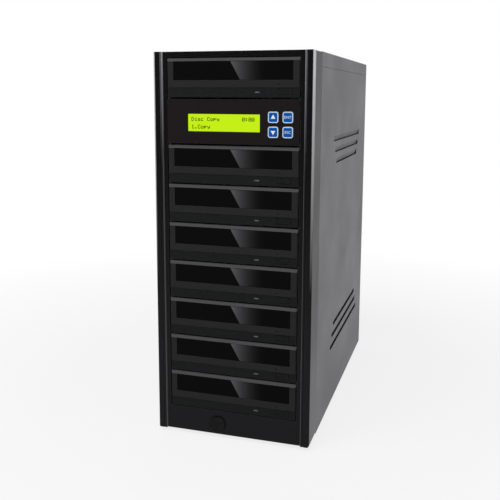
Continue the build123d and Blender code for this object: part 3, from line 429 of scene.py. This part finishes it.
def add_box(bm, low, high, corner=0.0, segments=3, axis=None):
    """A box between two corners, with rounded edges (all of them, or those along one axis)."""
    made = bmesh.ops.create_cube(bm, size=1.0)["verts"]
    size = Vector(high) - Vector(low)
    bmesh.ops.scale(bm, vec=size, verts=made)
    bmesh.ops.translate(bm, vec=(Vector(high) + Vector(low)) / 2, verts=made)
    if corner:
        edges = {edge for vert in made for edge in vert.link_edges}
        if axis is not None:
            edges = {e for e in edges
                     if abs((e.verts[0].co - e.verts[1].co).normalized()[axis]) > 0.9}
        bmesh.ops.bevel(bm, geom=list(edges), offset=corner, offset_type="OFFSET", affect="EDGES",
                        segments=segments, profile=0.5, material=-1)


def add_piece(name, bm, material, body, smooth=True):
    """Turns a bmesh into a piece that rides on a body."""
    mesh = bpy.data.meshes.new(name)
    bm.to_mesh(mesh)
    bm.free()
    return add_mesh(name, mesh, material, body, smooth)


def add_mesh(name, mesh, material, body, smooth=True):
    mesh.materials.clear()
    mesh.materials.append(material)
    piece = bpy.data.objects.new(name, mesh)
    bpy.context.scene.collection.objects.link(piece)
    if smooth:
        mesh.shade_smooth()
        mesh.set_sharp_from_angle(angle=math.radians(35))
    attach(piece, body)
    return piece


def lettering(text, height, depth):
    """A mesh of raised letters, standing upright and facing the front."""
    curve = bpy.data.curves.new(text, "FONT")
    curve.body = text
    curve.size = height / 0.7
    curve.align_x = "CENTER"
    curve.align_y = "CENTER"
    curve.extrude = depth / 2
    curve.resolution_u = 3
    holder = bpy.data.objects.new(text, curve)
    bpy.context.scene.collection.objects.link(holder)
    mesh = bpy.data.meshes.new_from_object(holder.evaluated_get(bpy.context.evaluated_depsgraph_get()))
    bpy.data.objects.remove(holder)
    mesh.transform(Matrix.Rotation(math.radians(90), 4, "X"))
    return mesh


# ---- finishes ----------------------------------------------------------------
def band(graph, value, low, high, soft=0.15 * MM):
    """1 between two values, with a soft edge."""
    return graph.both(graph.ramp(value, low, low + soft), graph.ramp(value, high - soft, high, 1.0, 0.0))


def paint_frame(graph, place, base):
    """Painted highlights on the posts: strips, inner edges and corners that fade downwards. Painted light: the
    frame lighter towards the bottom, and its outer sides lighter than its front, growing lighter towards the
    bottom.
    """
    axes = graph.axes(place)
    shades = colours()
    height = axes["Z"]
    side = graph.math("ABSOLUTE", axes["X"])
    front = graph.below(axes["Y"], from_front(POST_FACE))
    near = graph.below(axes["Y"], from_front(POST_ROUND))
    # Painted highlight along each post's strip, fading downwards.
    strip = graph.both(band(graph, side, *STRIP_SPAN), front)
    strip = graph.both(strip, graph.ramp(height, *STRIP_FADE))
    # Painted light: the frame is painted lighter towards the bottom.
    tint = graph.blend(graph.ramp(height, *LOWER_LIGHT_FADE, 1.0, 0.0), base, shades.lower)
    tint = graph.blend(strip, tint, shades.strip_painted_highlight)
    # Painted highlight on each post's inner edge, fading downwards.
    inner = graph.both(band(graph, side, *INNER_EDGE_SPAN), near)
    inner = graph.both(inner, graph.ramp(height, *INNER_EDGE_FADE, 0.12, 0.5))
    tint = graph.blend(inner, tint, shades.corner_painted_highlight)
    # Painted highlight on each post's rounded outer corner, fading downwards.
    corner = graph.both(graph.ramp(side, *CORNER_SPAN), near)
    corner = graph.both(corner, graph.ramp(height, *CORNER_FADE))
    tint = graph.blend(corner, tint, shades.corner_painted_highlight)
    # Painted light: the frame's outer sides are painted lighter than its front, and lighter still near the
    # bottom.
    side_painted_light = graph.both(graph.ramp(side, *CHEEK_SPAN), graph.math("SUBTRACT", 1.0, corner))
    lit = graph.blend(graph.ramp(height, *SIDE_LIGHT_FADE, 1.0, 0.0), shades.side_painted_light, shades.coat)
    return graph.blend(side_painted_light, tint, lit)


def button_outline(graph, x, local):
    """Dark line around the opening of the eject button."""
    low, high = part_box("eject_button_1")
    near = []
    for value, first, last in ((x, low[0], high[0]), (local, low[2] - TOP_DRIVE, high[2] - TOP_DRIVE)):
        half = (last - first) / 2
        near.append(graph.below(graph.away(value, first + half), half + BUTTON_LINE))
    return graph.both(*near)


def paint_bezel(graph, place, base):
    """Painted highlight on the top bevel, dark lower strip and dark button outline of each drive face."""
    axes = graph.axes(place)
    local = use(graph, "height on drive", Height=axes["Z"])["Local"]
    tint = graph.blend(graph.ramp(local, *STRIP_TOP, 1.0, 0.0), base, colours().strip)
    tint = graph.blend(button_outline(graph, axes["X"], local), tint, (0, 0, 0, 1))
    # Painted highlight: the top bevel painted light grey.
    return graph.blend(graph.ramp(local, *BEVEL_HIGHLIGHT_START), tint, colours().bevel)


def paint_tray(graph, place, base):
    """Gloss black door with a slanted grey half, matt tray behind it."""
    axes = graph.axes(place)
    local = use(graph, "height on drive", Height=axes["Z"])["Local"]
    slant = graph.math("ADD", axes["X"], graph.math("MULTIPLY", local, SLANT))
    edge = graph.ramp(slant, SLANT_START, SLANT_START + SLANT_SOFT)
    fade = graph.ramp(axes["X"], *SLANT_FADE, 1.0, 0.0)
    sheen = graph.both(edge, graph.math("POWER", fade, SLANT_POWER))
    door = graph.blend(sheen, colours().door, colours().door_sheen)
    return graph.blend(graph.above(axes["Y"], from_front(DOOR_BACK)), door, base)


def on_glass(graph, axes):
    """1 on the display's glass."""
    return graph.below(axes["Y"], from_front(GLASS_BACK))


def paint_module(graph, place, base):
    """Unlit black glass in a dark frame on a green board."""
    axes = graph.axes(place)
    tint = graph.blend(on_glass(graph, axes), base, (0, 0, 0, 1))
    return graph.blend(graph.above(axes["Y"], from_front(BOARD_FRONT)), tint, colours().board)


def glow_module(graph, place):
    """The display's own light, from its glass only."""
    return graph.blend(on_glass(graph, graph.axes(place)), (0, 0, 0, 1), colours().display)


def middle_of(name):
    """Middle of a node's box, across and up."""
    low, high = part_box(name)
    return (low[0] + high[0]) / 2, (low[2] + high[2]) / 2


def key_grid():
    """Middle of the four keys and half of their pitch, across and up."""
    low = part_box("key_down")[0]
    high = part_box("key_enter")[1]
    middle = ((low[0] + high[0]) / 2, (low[2] + high[2]) / 2)
    first = middle_of("key_down")
    return middle, (middle[0] - first[0], middle[1] - first[1])


def paint_key(graph, place, base):
    """Blue key top with a pale rounded rim."""
    axes = graph.axes(place)
    over = []
    for axis, centre, step, half in zip("XZ", *key_grid(), KEY_HALF):
        local = graph.away(graph.away(axes[axis], centre), step)
        over.append(graph.math("MAXIMUM", graph.math("SUBTRACT", local, half - KEY_ROUND), 0.0))
    outer, inner = RIM_WIDTH
    rim = graph.ramp(graph.reach(*over), KEY_ROUND - outer, KEY_ROUND - inner)
    return graph.blend(rim, base, colours().key_rim)


def paint_vent_shade(graph, place, base):
    """Painted shade: the blades inside the vents are painted darker."""
    side = graph.math("ABSOLUTE", graph.axes(place)["X"])
    inside = graph.below(side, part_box("right_side_panel")[1][0] - VENT_DEPTH)
    return graph.blend(inside, base, [level * VENT_PAINTED_SHADE for level in base[:3]] + [1.0])


def paint_inlet(graph, place, base):
    """Bright blades in the appliance inlet."""
    axes = graph.axes(place)
    low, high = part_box("power_inlet")
    across, _ = middle_of("power_inlet")
    half_width, half_height = BLADE_HALF
    blades = 0.0
    for dx, dz in BLADE_PLACES:
        x = across + dx
        z = low[2] + INLET_RISE + dz
        wide = band(graph, axes["X"], x - half_width, x + half_width, 0.05 * MM)
        tall = band(graph, axes["Z"], z - half_height, z + half_height, 0.05 * MM)
        blades = graph.math("MAXIMUM", blades, graph.both(wide, tall))
    outside = graph.above(axes["Y"], high[1] - SOCKET_DEPTH)
    return graph.blend(graph.both(blades, outside), base, colours().blade)


def paint_rocker(graph, place, base):
    """White bar and ring on the two halves of the rocker."""
    axes = graph.axes(place)
    x, z = middle_of("rocker_switch")
    across = graph.math("SUBTRACT", axes["X"], x)
    rise = graph.math("SUBTRACT", axes["Z"], z)
    thin = graph.below(graph.math("ABSOLUTE", across), MARK_HALF)
    bar = graph.both(thin, band(graph, rise, *BAR_SPAN, 0.02 * MM))
    reach = graph.reach(across, graph.math("ADD", rise, RING_DROP))
    ring = band(graph, reach, *RING_SPAN, 0.02 * MM)
    return graph.blend(graph.math("MAXIMUM", bar, ring), base, colours().mark)


def paint_board(graph, place, base):
    """Green board with dark parts on it and a pale heat sink."""
    axes = graph.axes(place)
    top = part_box("controller_board")[0][2] + BOARD_TOP
    dark = graph.blend(graph.above(axes["Z"], top), base, colours().chip)
    sink = graph.both(graph.above(axes["Z"], top + SINK_RISE), graph.below(axes["X"], SINK_EDGE))
    return graph.blend(sink, dark, colours().heat_sink)


class TOWER_OT_case(bpy.types.Operator):
    """Finishes the front frame, the steel case and its feet"""
    bl_idname = "tower.case"
    bl_label = "Case"

    def execute(self, context):
        shades = colours()
        plastic = finish("moulded frame", shades.frame, 0.3, grain=2600, depth=0.01, rub=0.12,
                         speck=0.05, shine=0.04, paint=paint_frame)
        dress(plastic, "front_bezel")
        dress(finish("button", shades.frame, 0.4, rub=0.1, shine=0.1), "power_button")
        coat = finish("textured paint", shades.coat, 0.58, grain=1300, depth=0.05, rub=0.12, speck=0.22)
        dress(coat, "top_cover", "base_pan", "rear_panel", "bay_cage")
        # The side panels' vent blades get a painted shade.
        dress(finish("vented paint", shades.coat, 0.58, grain=1300, depth=0.05, rub=0.12, speck=0.22,
                     paint=paint_vent_shade), "right_side_panel", "left_side_panel")
        dress(finish("foot rubber", tone(24, 24, 24), 0.85, rub=0.0), "rubber_feet")
        return {"FINISHED"}


class TOWER_OT_drives(bpy.types.Operator):
    """Finishes the drive faces, trays and eject buttons and adds their lamps"""
    bl_idname = "tower.drives"
    bl_label = "Drives"

    def execute(self, context):
        shades = colours()
        numbers = range(1, DRIVES + 1)
        dress(finish("drive face", shades.bezel, 0.5, grain=2400, depth=0.02, rub=0.1, speck=0.06,
                     shine=0.08, paint=paint_bezel), "drive_bezels")
        dress(finish("tray", shades.tray, 0.14, grain=2000, depth=0.002, rub=0.06, speck=0.0,
                     shine=0.05, paint=paint_tray), *[f"tray_{i}" for i in numbers])
        dress(finish("eject button", shades.strip, 0.45, rub=0.1, shine=0.06),
              *[f"eject_button_{i}" for i in numbers])
        lens = finish("lamp lens", tone(84, 85, 88), 0.3, rub=0.0, speck=0.0)
        made = sizes()
        half_w = made.lamp_width / 2
        half_h = made.lamp_height / 2
        for number in numbers:
            low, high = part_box(f"eject_button_{number}")
            z = (low[2] + high[2]) / 2 - LAMP_DROP
            bm = bmesh.new()
            add_box(bm, (LAMP_X - half_w, from_front(LAMP_FRONT), z - half_h),
                    (LAMP_X + half_w, from_front(LAMP_BACK), z + half_h), made.lamp_corner)
            add_piece(f"drive_lamp_{number}", bm, lens, BODY)
        return {"FINISHED"}


GLYPHS = {
    "D": (0x7F, 0x41, 0x41, 0x22, 0x1C), "i": (0x00, 0x44, 0x7D, 0x40, 0x00),
    "s": (0x48, 0x54, 0x54, 0x54, 0x20), "c": (0x38, 0x44, 0x44, 0x44, 0x20),
    "C": (0x3E, 0x41, 0x41, 0x41, 0x22), "o": (0x38, 0x44, 0x44, 0x44, 0x38),
    "p": (0x7C, 0x14, 0x14, 0x14, 0x08), "y": (0x0C, 0x50, 0x50, 0x50, 0x3C),
    "0": (0x3E, 0x51, 0x49, 0x45, 0x3E), ":": (0x00, 0x36, 0x36, 0x00, 0x00),
    "1": (0x00, 0x42, 0x7F, 0x40, 0x00), ".": (0x00, 0x60, 0x60, 0x00, 0x00),
}


class TOWER_OT_display(bpy.types.Operator):
    """Finishes the control face and writes the display's two rows"""
    bl_idname = "tower.display"
    bl_label = "Display"

    rows: StringProperty(name="Rows", description="The two rows, split by a bar",
                         default="Disc Copy       0:00|1.Copy")

    def execute(self, context):
        shades = colours()
        dress(finish("control face", shades.overlay, 0.5, grain=2600, depth=0.008, rub=0.1, speck=0.04,
                     shine=0.06), "control_panel")
        dress(finish("display", tone(20, 20, 20), 0.35, rub=0.0, speck=0.0, shine=0.1, paint=paint_module,
                     glow=glow_module), "lcd_module")
        made = sizes()
        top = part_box("control_panel")[0][2] + TEXT_RISE
        surface = from_front(GLASS_FACE)
        bm = bmesh.new()
        for row, text in enumerate(self.rows.split("|")):
            for column, letter in enumerate(text):
                for step, bits in enumerate(GLYPHS.get(letter, ())):
                    for line in range(DOT_ROWS):
                        if bits >> line & 1:
                            x = TEXT_LEFT + column * made.cell_pitch + step * made.dot_pitch
                            z = top - row * made.row_pitch - line * made.dot_pitch
                            add_box(bm, (x, surface - DOT_DEPTH, z - made.dot), (x + made.dot, surface, z))
        ink = finish("characters", shades.characters, 0.5, rub=0.0, speck=0.0, shine=0.05)
        add_piece("display_characters", bm, ink, BODY, smooth=False)
        return {"FINISHED"}


class TOWER_OT_keys(bpy.types.Operator):
    """Finishes the four keys and puts a sign on each"""
    bl_idname = "tower.keys"
    bl_label = "Keys"

    def execute(self, context):
        shades = colours()
        dress(finish("key top", shades.key, 0.35, grain=2400, depth=0.004, rub=0.0, speck=0.0,
                     shine=0.03, paint=paint_key), "key_up", "key_down", "key_enter", "key_escape")
        pale = finish("key sign", tone(252, 253, 255), 0.45, rub=0.0, speck=0.0)
        for name, sign in (("key_up", 1), ("key_down", -1)):
            self.arrow(name, sign, pale)
        for name, word in (("key_enter", "ENT"), ("key_escape", "ESC")):
            mesh = lettering(word, sizes().sign_height, SIGN_DEPTH)
            mesh.transform(Matrix.Translation(self.face(name)))
            add_mesh(f"{name}_sign", mesh, pale, name, smooth=False)
        return {"FINISHED"}

    def face(self, name):
        low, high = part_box(name)
        return Vector(((low[0] + high[0]) / 2, low[1], (low[2] + high[2]) / 2))

    def arrow(self, name, sign, material):
        middle = self.face(name)
        bm = bmesh.new()
        corner = sizes().arrow_width / math.sqrt(3)
        made = bmesh.ops.create_cone(bm, cap_ends=True, segments=3, radius1=corner, radius2=corner,
                                     depth=SIGN_DEPTH)["verts"]
        turn = Matrix.Rotation(math.radians(90), 4, "X")
        bmesh.ops.transform(bm, matrix=turn, verts=made)
        if sign < 0:
            flip = Matrix.Rotation(math.radians(180), 3, "Y")
            bmesh.ops.rotate(bm, cent=(0, 0, 0), matrix=flip, verts=made)
        bmesh.ops.translate(bm, vec=middle, verts=made)
        add_piece(f"{name}_sign", bm, material, name, smooth=False)


class TOWER_OT_rear(bpy.types.Operator):
    """Finishes the supply, inlet, switch and fans"""
    bl_idname = "tower.rear"
    bl_label = "Rear"

    def execute(self, context):
        shades = colours()
        sheet = finish("supply sheet", shades.zinc, 0.38, metal=0.9, grain=900, depth=0.01, rub=0.1, speck=0.05)
        dress(sheet, "psu_case")
        dress(finish("inlet plastic", tone(28, 28, 29), 0.5, paint=paint_inlet), "power_inlet")
        dress(finish("rocker plastic", tone(22, 22, 23), 0.3, paint=paint_rocker), "rocker_switch")
        dress(finish("fan plastic", tone(30, 30, 31), 0.45), "fan_frames", "psu_fan_rotor",
              "rear_fan_rotor_upper", "rear_fan_rotor_lower")
        return {"FINISHED"}


def loose_boxes(mesh):
    """Low and high corners of each loose part of a mesh."""
    bm = bmesh.new()
    bm.from_mesh(mesh)
    bmesh.ops.remove_doubles(bm, verts=bm.verts, dist=0.005 * MM)
    waiting = set(bm.verts)
    boxes = []
    while waiting:
        found = [waiting.pop()]
        for vert in found:
            near = {edge.other_vert(vert) for edge in vert.link_edges} & waiting
            waiting -= near
            found.extend(near)
        spans = [[vert.co[axis] for vert in found] for axis in range(3)]
        boxes.append((Vector([min(span) for span in spans]), Vector([max(span) for span in spans])))
    bm.free()
    return sorted(boxes, key=lambda box: tuple(round(value, 6) for value in box[0]))


def screw_mesh(head, rise, shank, reach, ribbed):
    """A screw along Z: shank, rounded head (ribbed if asked) and a cross recess."""
    rows = [(shank * 0.7, -reach), (shank, -reach + SCREW_POINT), (shank, 0.0), (head * 0.96, 0.0),
            (head, 0.06 * rise), (head, 0.72 * rise), (head * 0.93, 0.9 * rise), (head * 0.8, rise)]
    bm = bmesh.new()
    loops = []
    for radius, height in rows:
        loop = []
        for i in range(SCREW_SIDES):
            between = ribbed and radius == head and i % RIB_SIDES >= RIB_SIDES / 2
            dent = RIB_SHARE if between else 1.0
            turn = 2 * math.pi * i / SCREW_SIDES
            reach_out = radius * dent
            loop.append(bm.verts.new((reach_out * math.cos(turn), reach_out * math.sin(turn), height)))
        loops.append(loop)
    for low, high in zip(loops, loops[1:]):
        for i in range(SCREW_SIDES):
            bm.faces.new((low[i - 1], low[i], high[i], high[i - 1]))
    bm.faces.new(reversed(loops[0]))
    wide = head * 0.13
    far = head * 0.55
    crosses = []
    for share, height in ((1.0, rise), (0.75, rise - 0.4 * head)):
        cross = []
        for quarter in range(4):
            turn = Matrix.Rotation(math.radians(90 * quarter), 3, "Z")
            for x, y in ((far, -wide), (far, wide), (wide, wide)):
                place = turn @ Vector((x * share, y * share, 0))
                cross.append(bm.verts.new((place.x, place.y, height)))
        crosses.append(cross)
    top, bottom = crosses
    for i in range(len(top)):
        bm.faces.new((top[i - 1], top[i], bottom[i], bottom[i - 1]))
    bm.faces.new(bottom)
    rim = [bm.edges.get((loops[-1][i - 1], loops[-1][i])) for i in range(SCREW_SIDES)]
    rim += [bm.edges.get((top[i - 1], top[i])) for i in range(len(top))]
    bmesh.ops.triangle_fill(bm, use_beauty=True, edges=rim, normal=(0, 0, 1))
    bmesh.ops.recalc_face_normals(bm, faces=bm.faces)
    mesh = bpy.data.meshes.new("screw")
    bm.to_mesh(mesh)
    bm.free()
    return mesh


class TOWER_OT_screws(bpy.types.Operator):
    """Puts a detailed screw in the place of each packed one"""
    bl_idname = "tower.screws"
    bl_label = "Screws"

    def execute(self, context):
        made = sizes()
        kinds = {}
        bm = bmesh.new()
        for number, (low, high) in enumerate(loose_boxes(frame["nodes"]["screws"].data)):
            size = high - low
            rear = abs(size.x - size.z) < 0.1 * MM
            head = size.z / 2
            thumb = head > THUMB_RADIUS
            rise = made.thumb_head if thumb else made.plain_head
            reach = (size.y if rear else size.x) - rise
            kind = (round(head, 5), round(reach, 5), thumb)
            if kind not in kinds:
                kinds[kind] = screw_mesh(head, rise, made.shank, reach, thumb)
            middle = (low + high) / 2
            if rear:
                base = Vector((middle.x, high.y - rise, middle.z))
                aim = Matrix.Rotation(math.radians(-90), 4, "X")
            else:
                side = math.copysign(1, middle.x)
                base = Vector((side * (max(abs(low.x), abs(high.x)) - rise), middle.y, middle.z))
                aim = Matrix.Rotation(math.radians(90 * side), 4, "Y")
            first = len(bm.verts)
            bm.from_mesh(kinds[kind])
            bm.verts.ensure_lookup_table()
            turn = Matrix.Rotation(number * SCREW_TURN, 4, "Z")
            bmesh.ops.transform(bm, matrix=Matrix.Translation(base) @ aim @ turn, verts=bm.verts[first:])
        plating = finish("screw plating", tone(190, 190, 192), 0.25, metal=1.0, grain=2500, depth=0.006,
                         rub=0.2, speck=0.0)
        piece = add_piece("screw_set", bm, plating, BODY)
        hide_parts("screws")
        return {"FINISHED"}


class TOWER_OT_works(bpy.types.Operator):
    """Finishes what is inside: drives' boxes and works, boards and cables"""
    bl_idname = "tower.works"
    bl_label = "Works"

    def execute(self, context):
        shades = colours()
        numbers = range(1, DRIVES + 1)
        zinc = finish("zinc sheet", shades.zinc, 0.4, metal=0.9, grain=700, depth=0.01, rub=0.1, speck=0.1)
        dress(zinc, *[f"drive_{i}_case" for i in numbers])
        dress(finish("cast works", tone(150, 151, 154), 0.45, metal=0.8, grain=1200), "drive_traverses")
        dress(finish("spindle plastic", tone(70, 70, 72), 0.45), *[f"spindle_{i}" for i in numbers])
        dress(finish("board", shades.board, 0.45, paint=paint_board), "controller_board")
        dress(finish("data jacket", tone(176, 34, 28), 0.5), "sata_cables")
        dress(finish("power jacket", tone(30, 30, 32), 0.55), "power_harness")
        return {"FINISHED"}


def seen_by_eye(graph):
    """1 for rays that the camera, a gloss or a glass sends out."""
    path = graph.add("ShaderNodeLightPath").outputs
    gloss = graph.math("MAXIMUM", path["Is Glossy Ray"], path["Is Transmission Ray"])
    return graph.math("MAXIMUM", path["Is Camera Ray"], gloss)


class TOWER_OT_stage(bpy.types.Operator):
    """Adds the floor, the soft light and the camera"""
    bl_idname = "tower.stage"
    bl_label = "Stage"

    def execute(self, context):
        scene = context.scene
        self.floor(scene)
        self.world(scene)
        for name, place, size, power in (
            ("right soft box", (1.9, -0.3, 0.25), 1.4, 9),
            ("top soft box", (-0.2, -1.2, 1.9), 1.5, 17),
            ("left soft box", (-1.6, -1.6, 0.9), 1.2, 9),
        ):
            self.lamp(scene, name, place, size, power)
        self.camera(scene)
        scene.view_settings.view_transform = "Standard"
        return {"FINISHED"}

    def floor(self, scene):
        bm = bmesh.new()
        bmesh.ops.create_grid(bm, x_segments=1, y_segments=1, size=30.0)
        mesh = bpy.data.meshes.new("floor")
        bm.to_mesh(mesh)
        bm.free()
        mesh.materials.append(self.floor_material())
        floor = bpy.data.objects.new("floor", mesh)
        scene.collection.objects.link(floor)

    def floor_material(self):
        """Pale floor that keeps its shadow near the object and is plain white further off."""
        material = finish("floor", tone(244, 244, 244), 0.9, grain=40, depth=0.0, rub=0.0, speck=0.0)
        graph = Graph(material.node_tree)
        axes = graph.axes(graph.place())
        reach = graph.reach(axes["X"], axes["Y"])
        white = graph.add("ShaderNodeEmission")
        mix = graph.add("ShaderNodeMixShader")
        far = graph.ramp(reach, 0.3, 0.9, 0.8, 1.0)
        graph.join(graph.math("MULTIPLY", far, seen_by_eye(graph)), mix.inputs[0])
        graph.join(material.node_tree.nodes["Principled BSDF"].outputs[0], mix.inputs[1])
        graph.join(white.outputs[0], mix.inputs[2])
        graph.join(mix.outputs[0], material.node_tree.nodes["Material Output"].inputs["Surface"])
        return material

    def world(self, scene):
        world = bpy.data.worlds.new("studio")
        scene.world = world
        world.use_nodes = True
        graph = Graph(world.node_tree)
        back = world.node_tree.nodes["Background"]
        graph.join(graph.blend(seen_by_eye(graph), (0.3, 0.3, 0.3, 1), (1, 1, 1, 1)), back.inputs["Color"])
        back.inputs["Strength"].default_value = 1.0

    def lamp(self, scene, name, place, size, power):
        light = bpy.data.lights.new(name, "AREA")
        light.size = size
        light.energy = power
        holder = bpy.data.objects.new(name, light)
        scene.collection.objects.link(holder)
        aim = Vector((0, 0, 0.25)) - Vector(place)
        holder.matrix_world = Matrix.Translation(place) @ aim.to_track_quat("-Z", "Y").to_matrix().to_4x4()

    def camera(self, scene):
        made = scene.tower_stage
        data = bpy.data.cameras.new("camera")
        data.sensor_width = 36.0
        data.lens = made.lens
        data.shift_y = made.shift
        forward = Vector((-math.sin(made.turn) * math.cos(made.tilt),
                          math.cos(made.turn) * math.cos(made.tilt), math.sin(made.tilt)))
        level = Vector((math.cos(made.turn), math.sin(made.turn), 0))
        rise = level.cross(forward)
        right = level * math.cos(made.roll) + rise * math.sin(made.roll)
        up = rise * math.cos(made.roll) - level * math.sin(made.roll)
        turn = Matrix((right, up, -forward)).transposed().to_4x4()
        holder = bpy.data.objects.new("camera", data)
        scene.collection.objects.link(holder)
        holder.matrix_world = Matrix.Translation(made.eye) @ turn
        scene.camera = holder


STEPS = (TOWER_OT_case, TOWER_OT_drives, TOWER_OT_display, TOWER_OT_keys, TOWER_OT_rear,
         TOWER_OT_screws, TOWER_OT_works, TOWER_OT_stage)


class TOWER_PT_panel(bpy.types.Panel):
    """Lists the tower's steps"""
    bl_idname = "TOWER_PT_panel"
    bl_label = "Tower"
    bl_space_type = "VIEW_3D"
    bl_region_type = "UI"
    bl_category = "Tower"

    def draw(self, context):
        for step in STEPS:
            self.layout.operator(step.bl_idname)


CLASSES = (TowerColours, TowerSizes, TowerStage, *STEPS, TOWER_PT_panel)


def register():
    for kind in CLASSES:
        bpy.utils.register_class(kind)
    bpy.types.Scene.tower_colours = PointerProperty(type=TowerColours)
    bpy.types.Scene.tower_sizes = PointerProperty(type=TowerSizes)
    bpy.types.Scene.tower_stage = PointerProperty(type=TowerStage)


def unregister():
    for name in ("tower_colours", "tower_sizes", "tower_stage"):
        delattr(bpy.types.Scene, name)
    for kind in reversed(CLASSES):
        bpy.utils.unregister_class(kind)


def main():
    register()
    for step in STEPS:
        section, name = step.bl_idname.split(".")
        getattr(getattr(bpy.ops, section), name)()


if __name__ == "__main__":
    main()
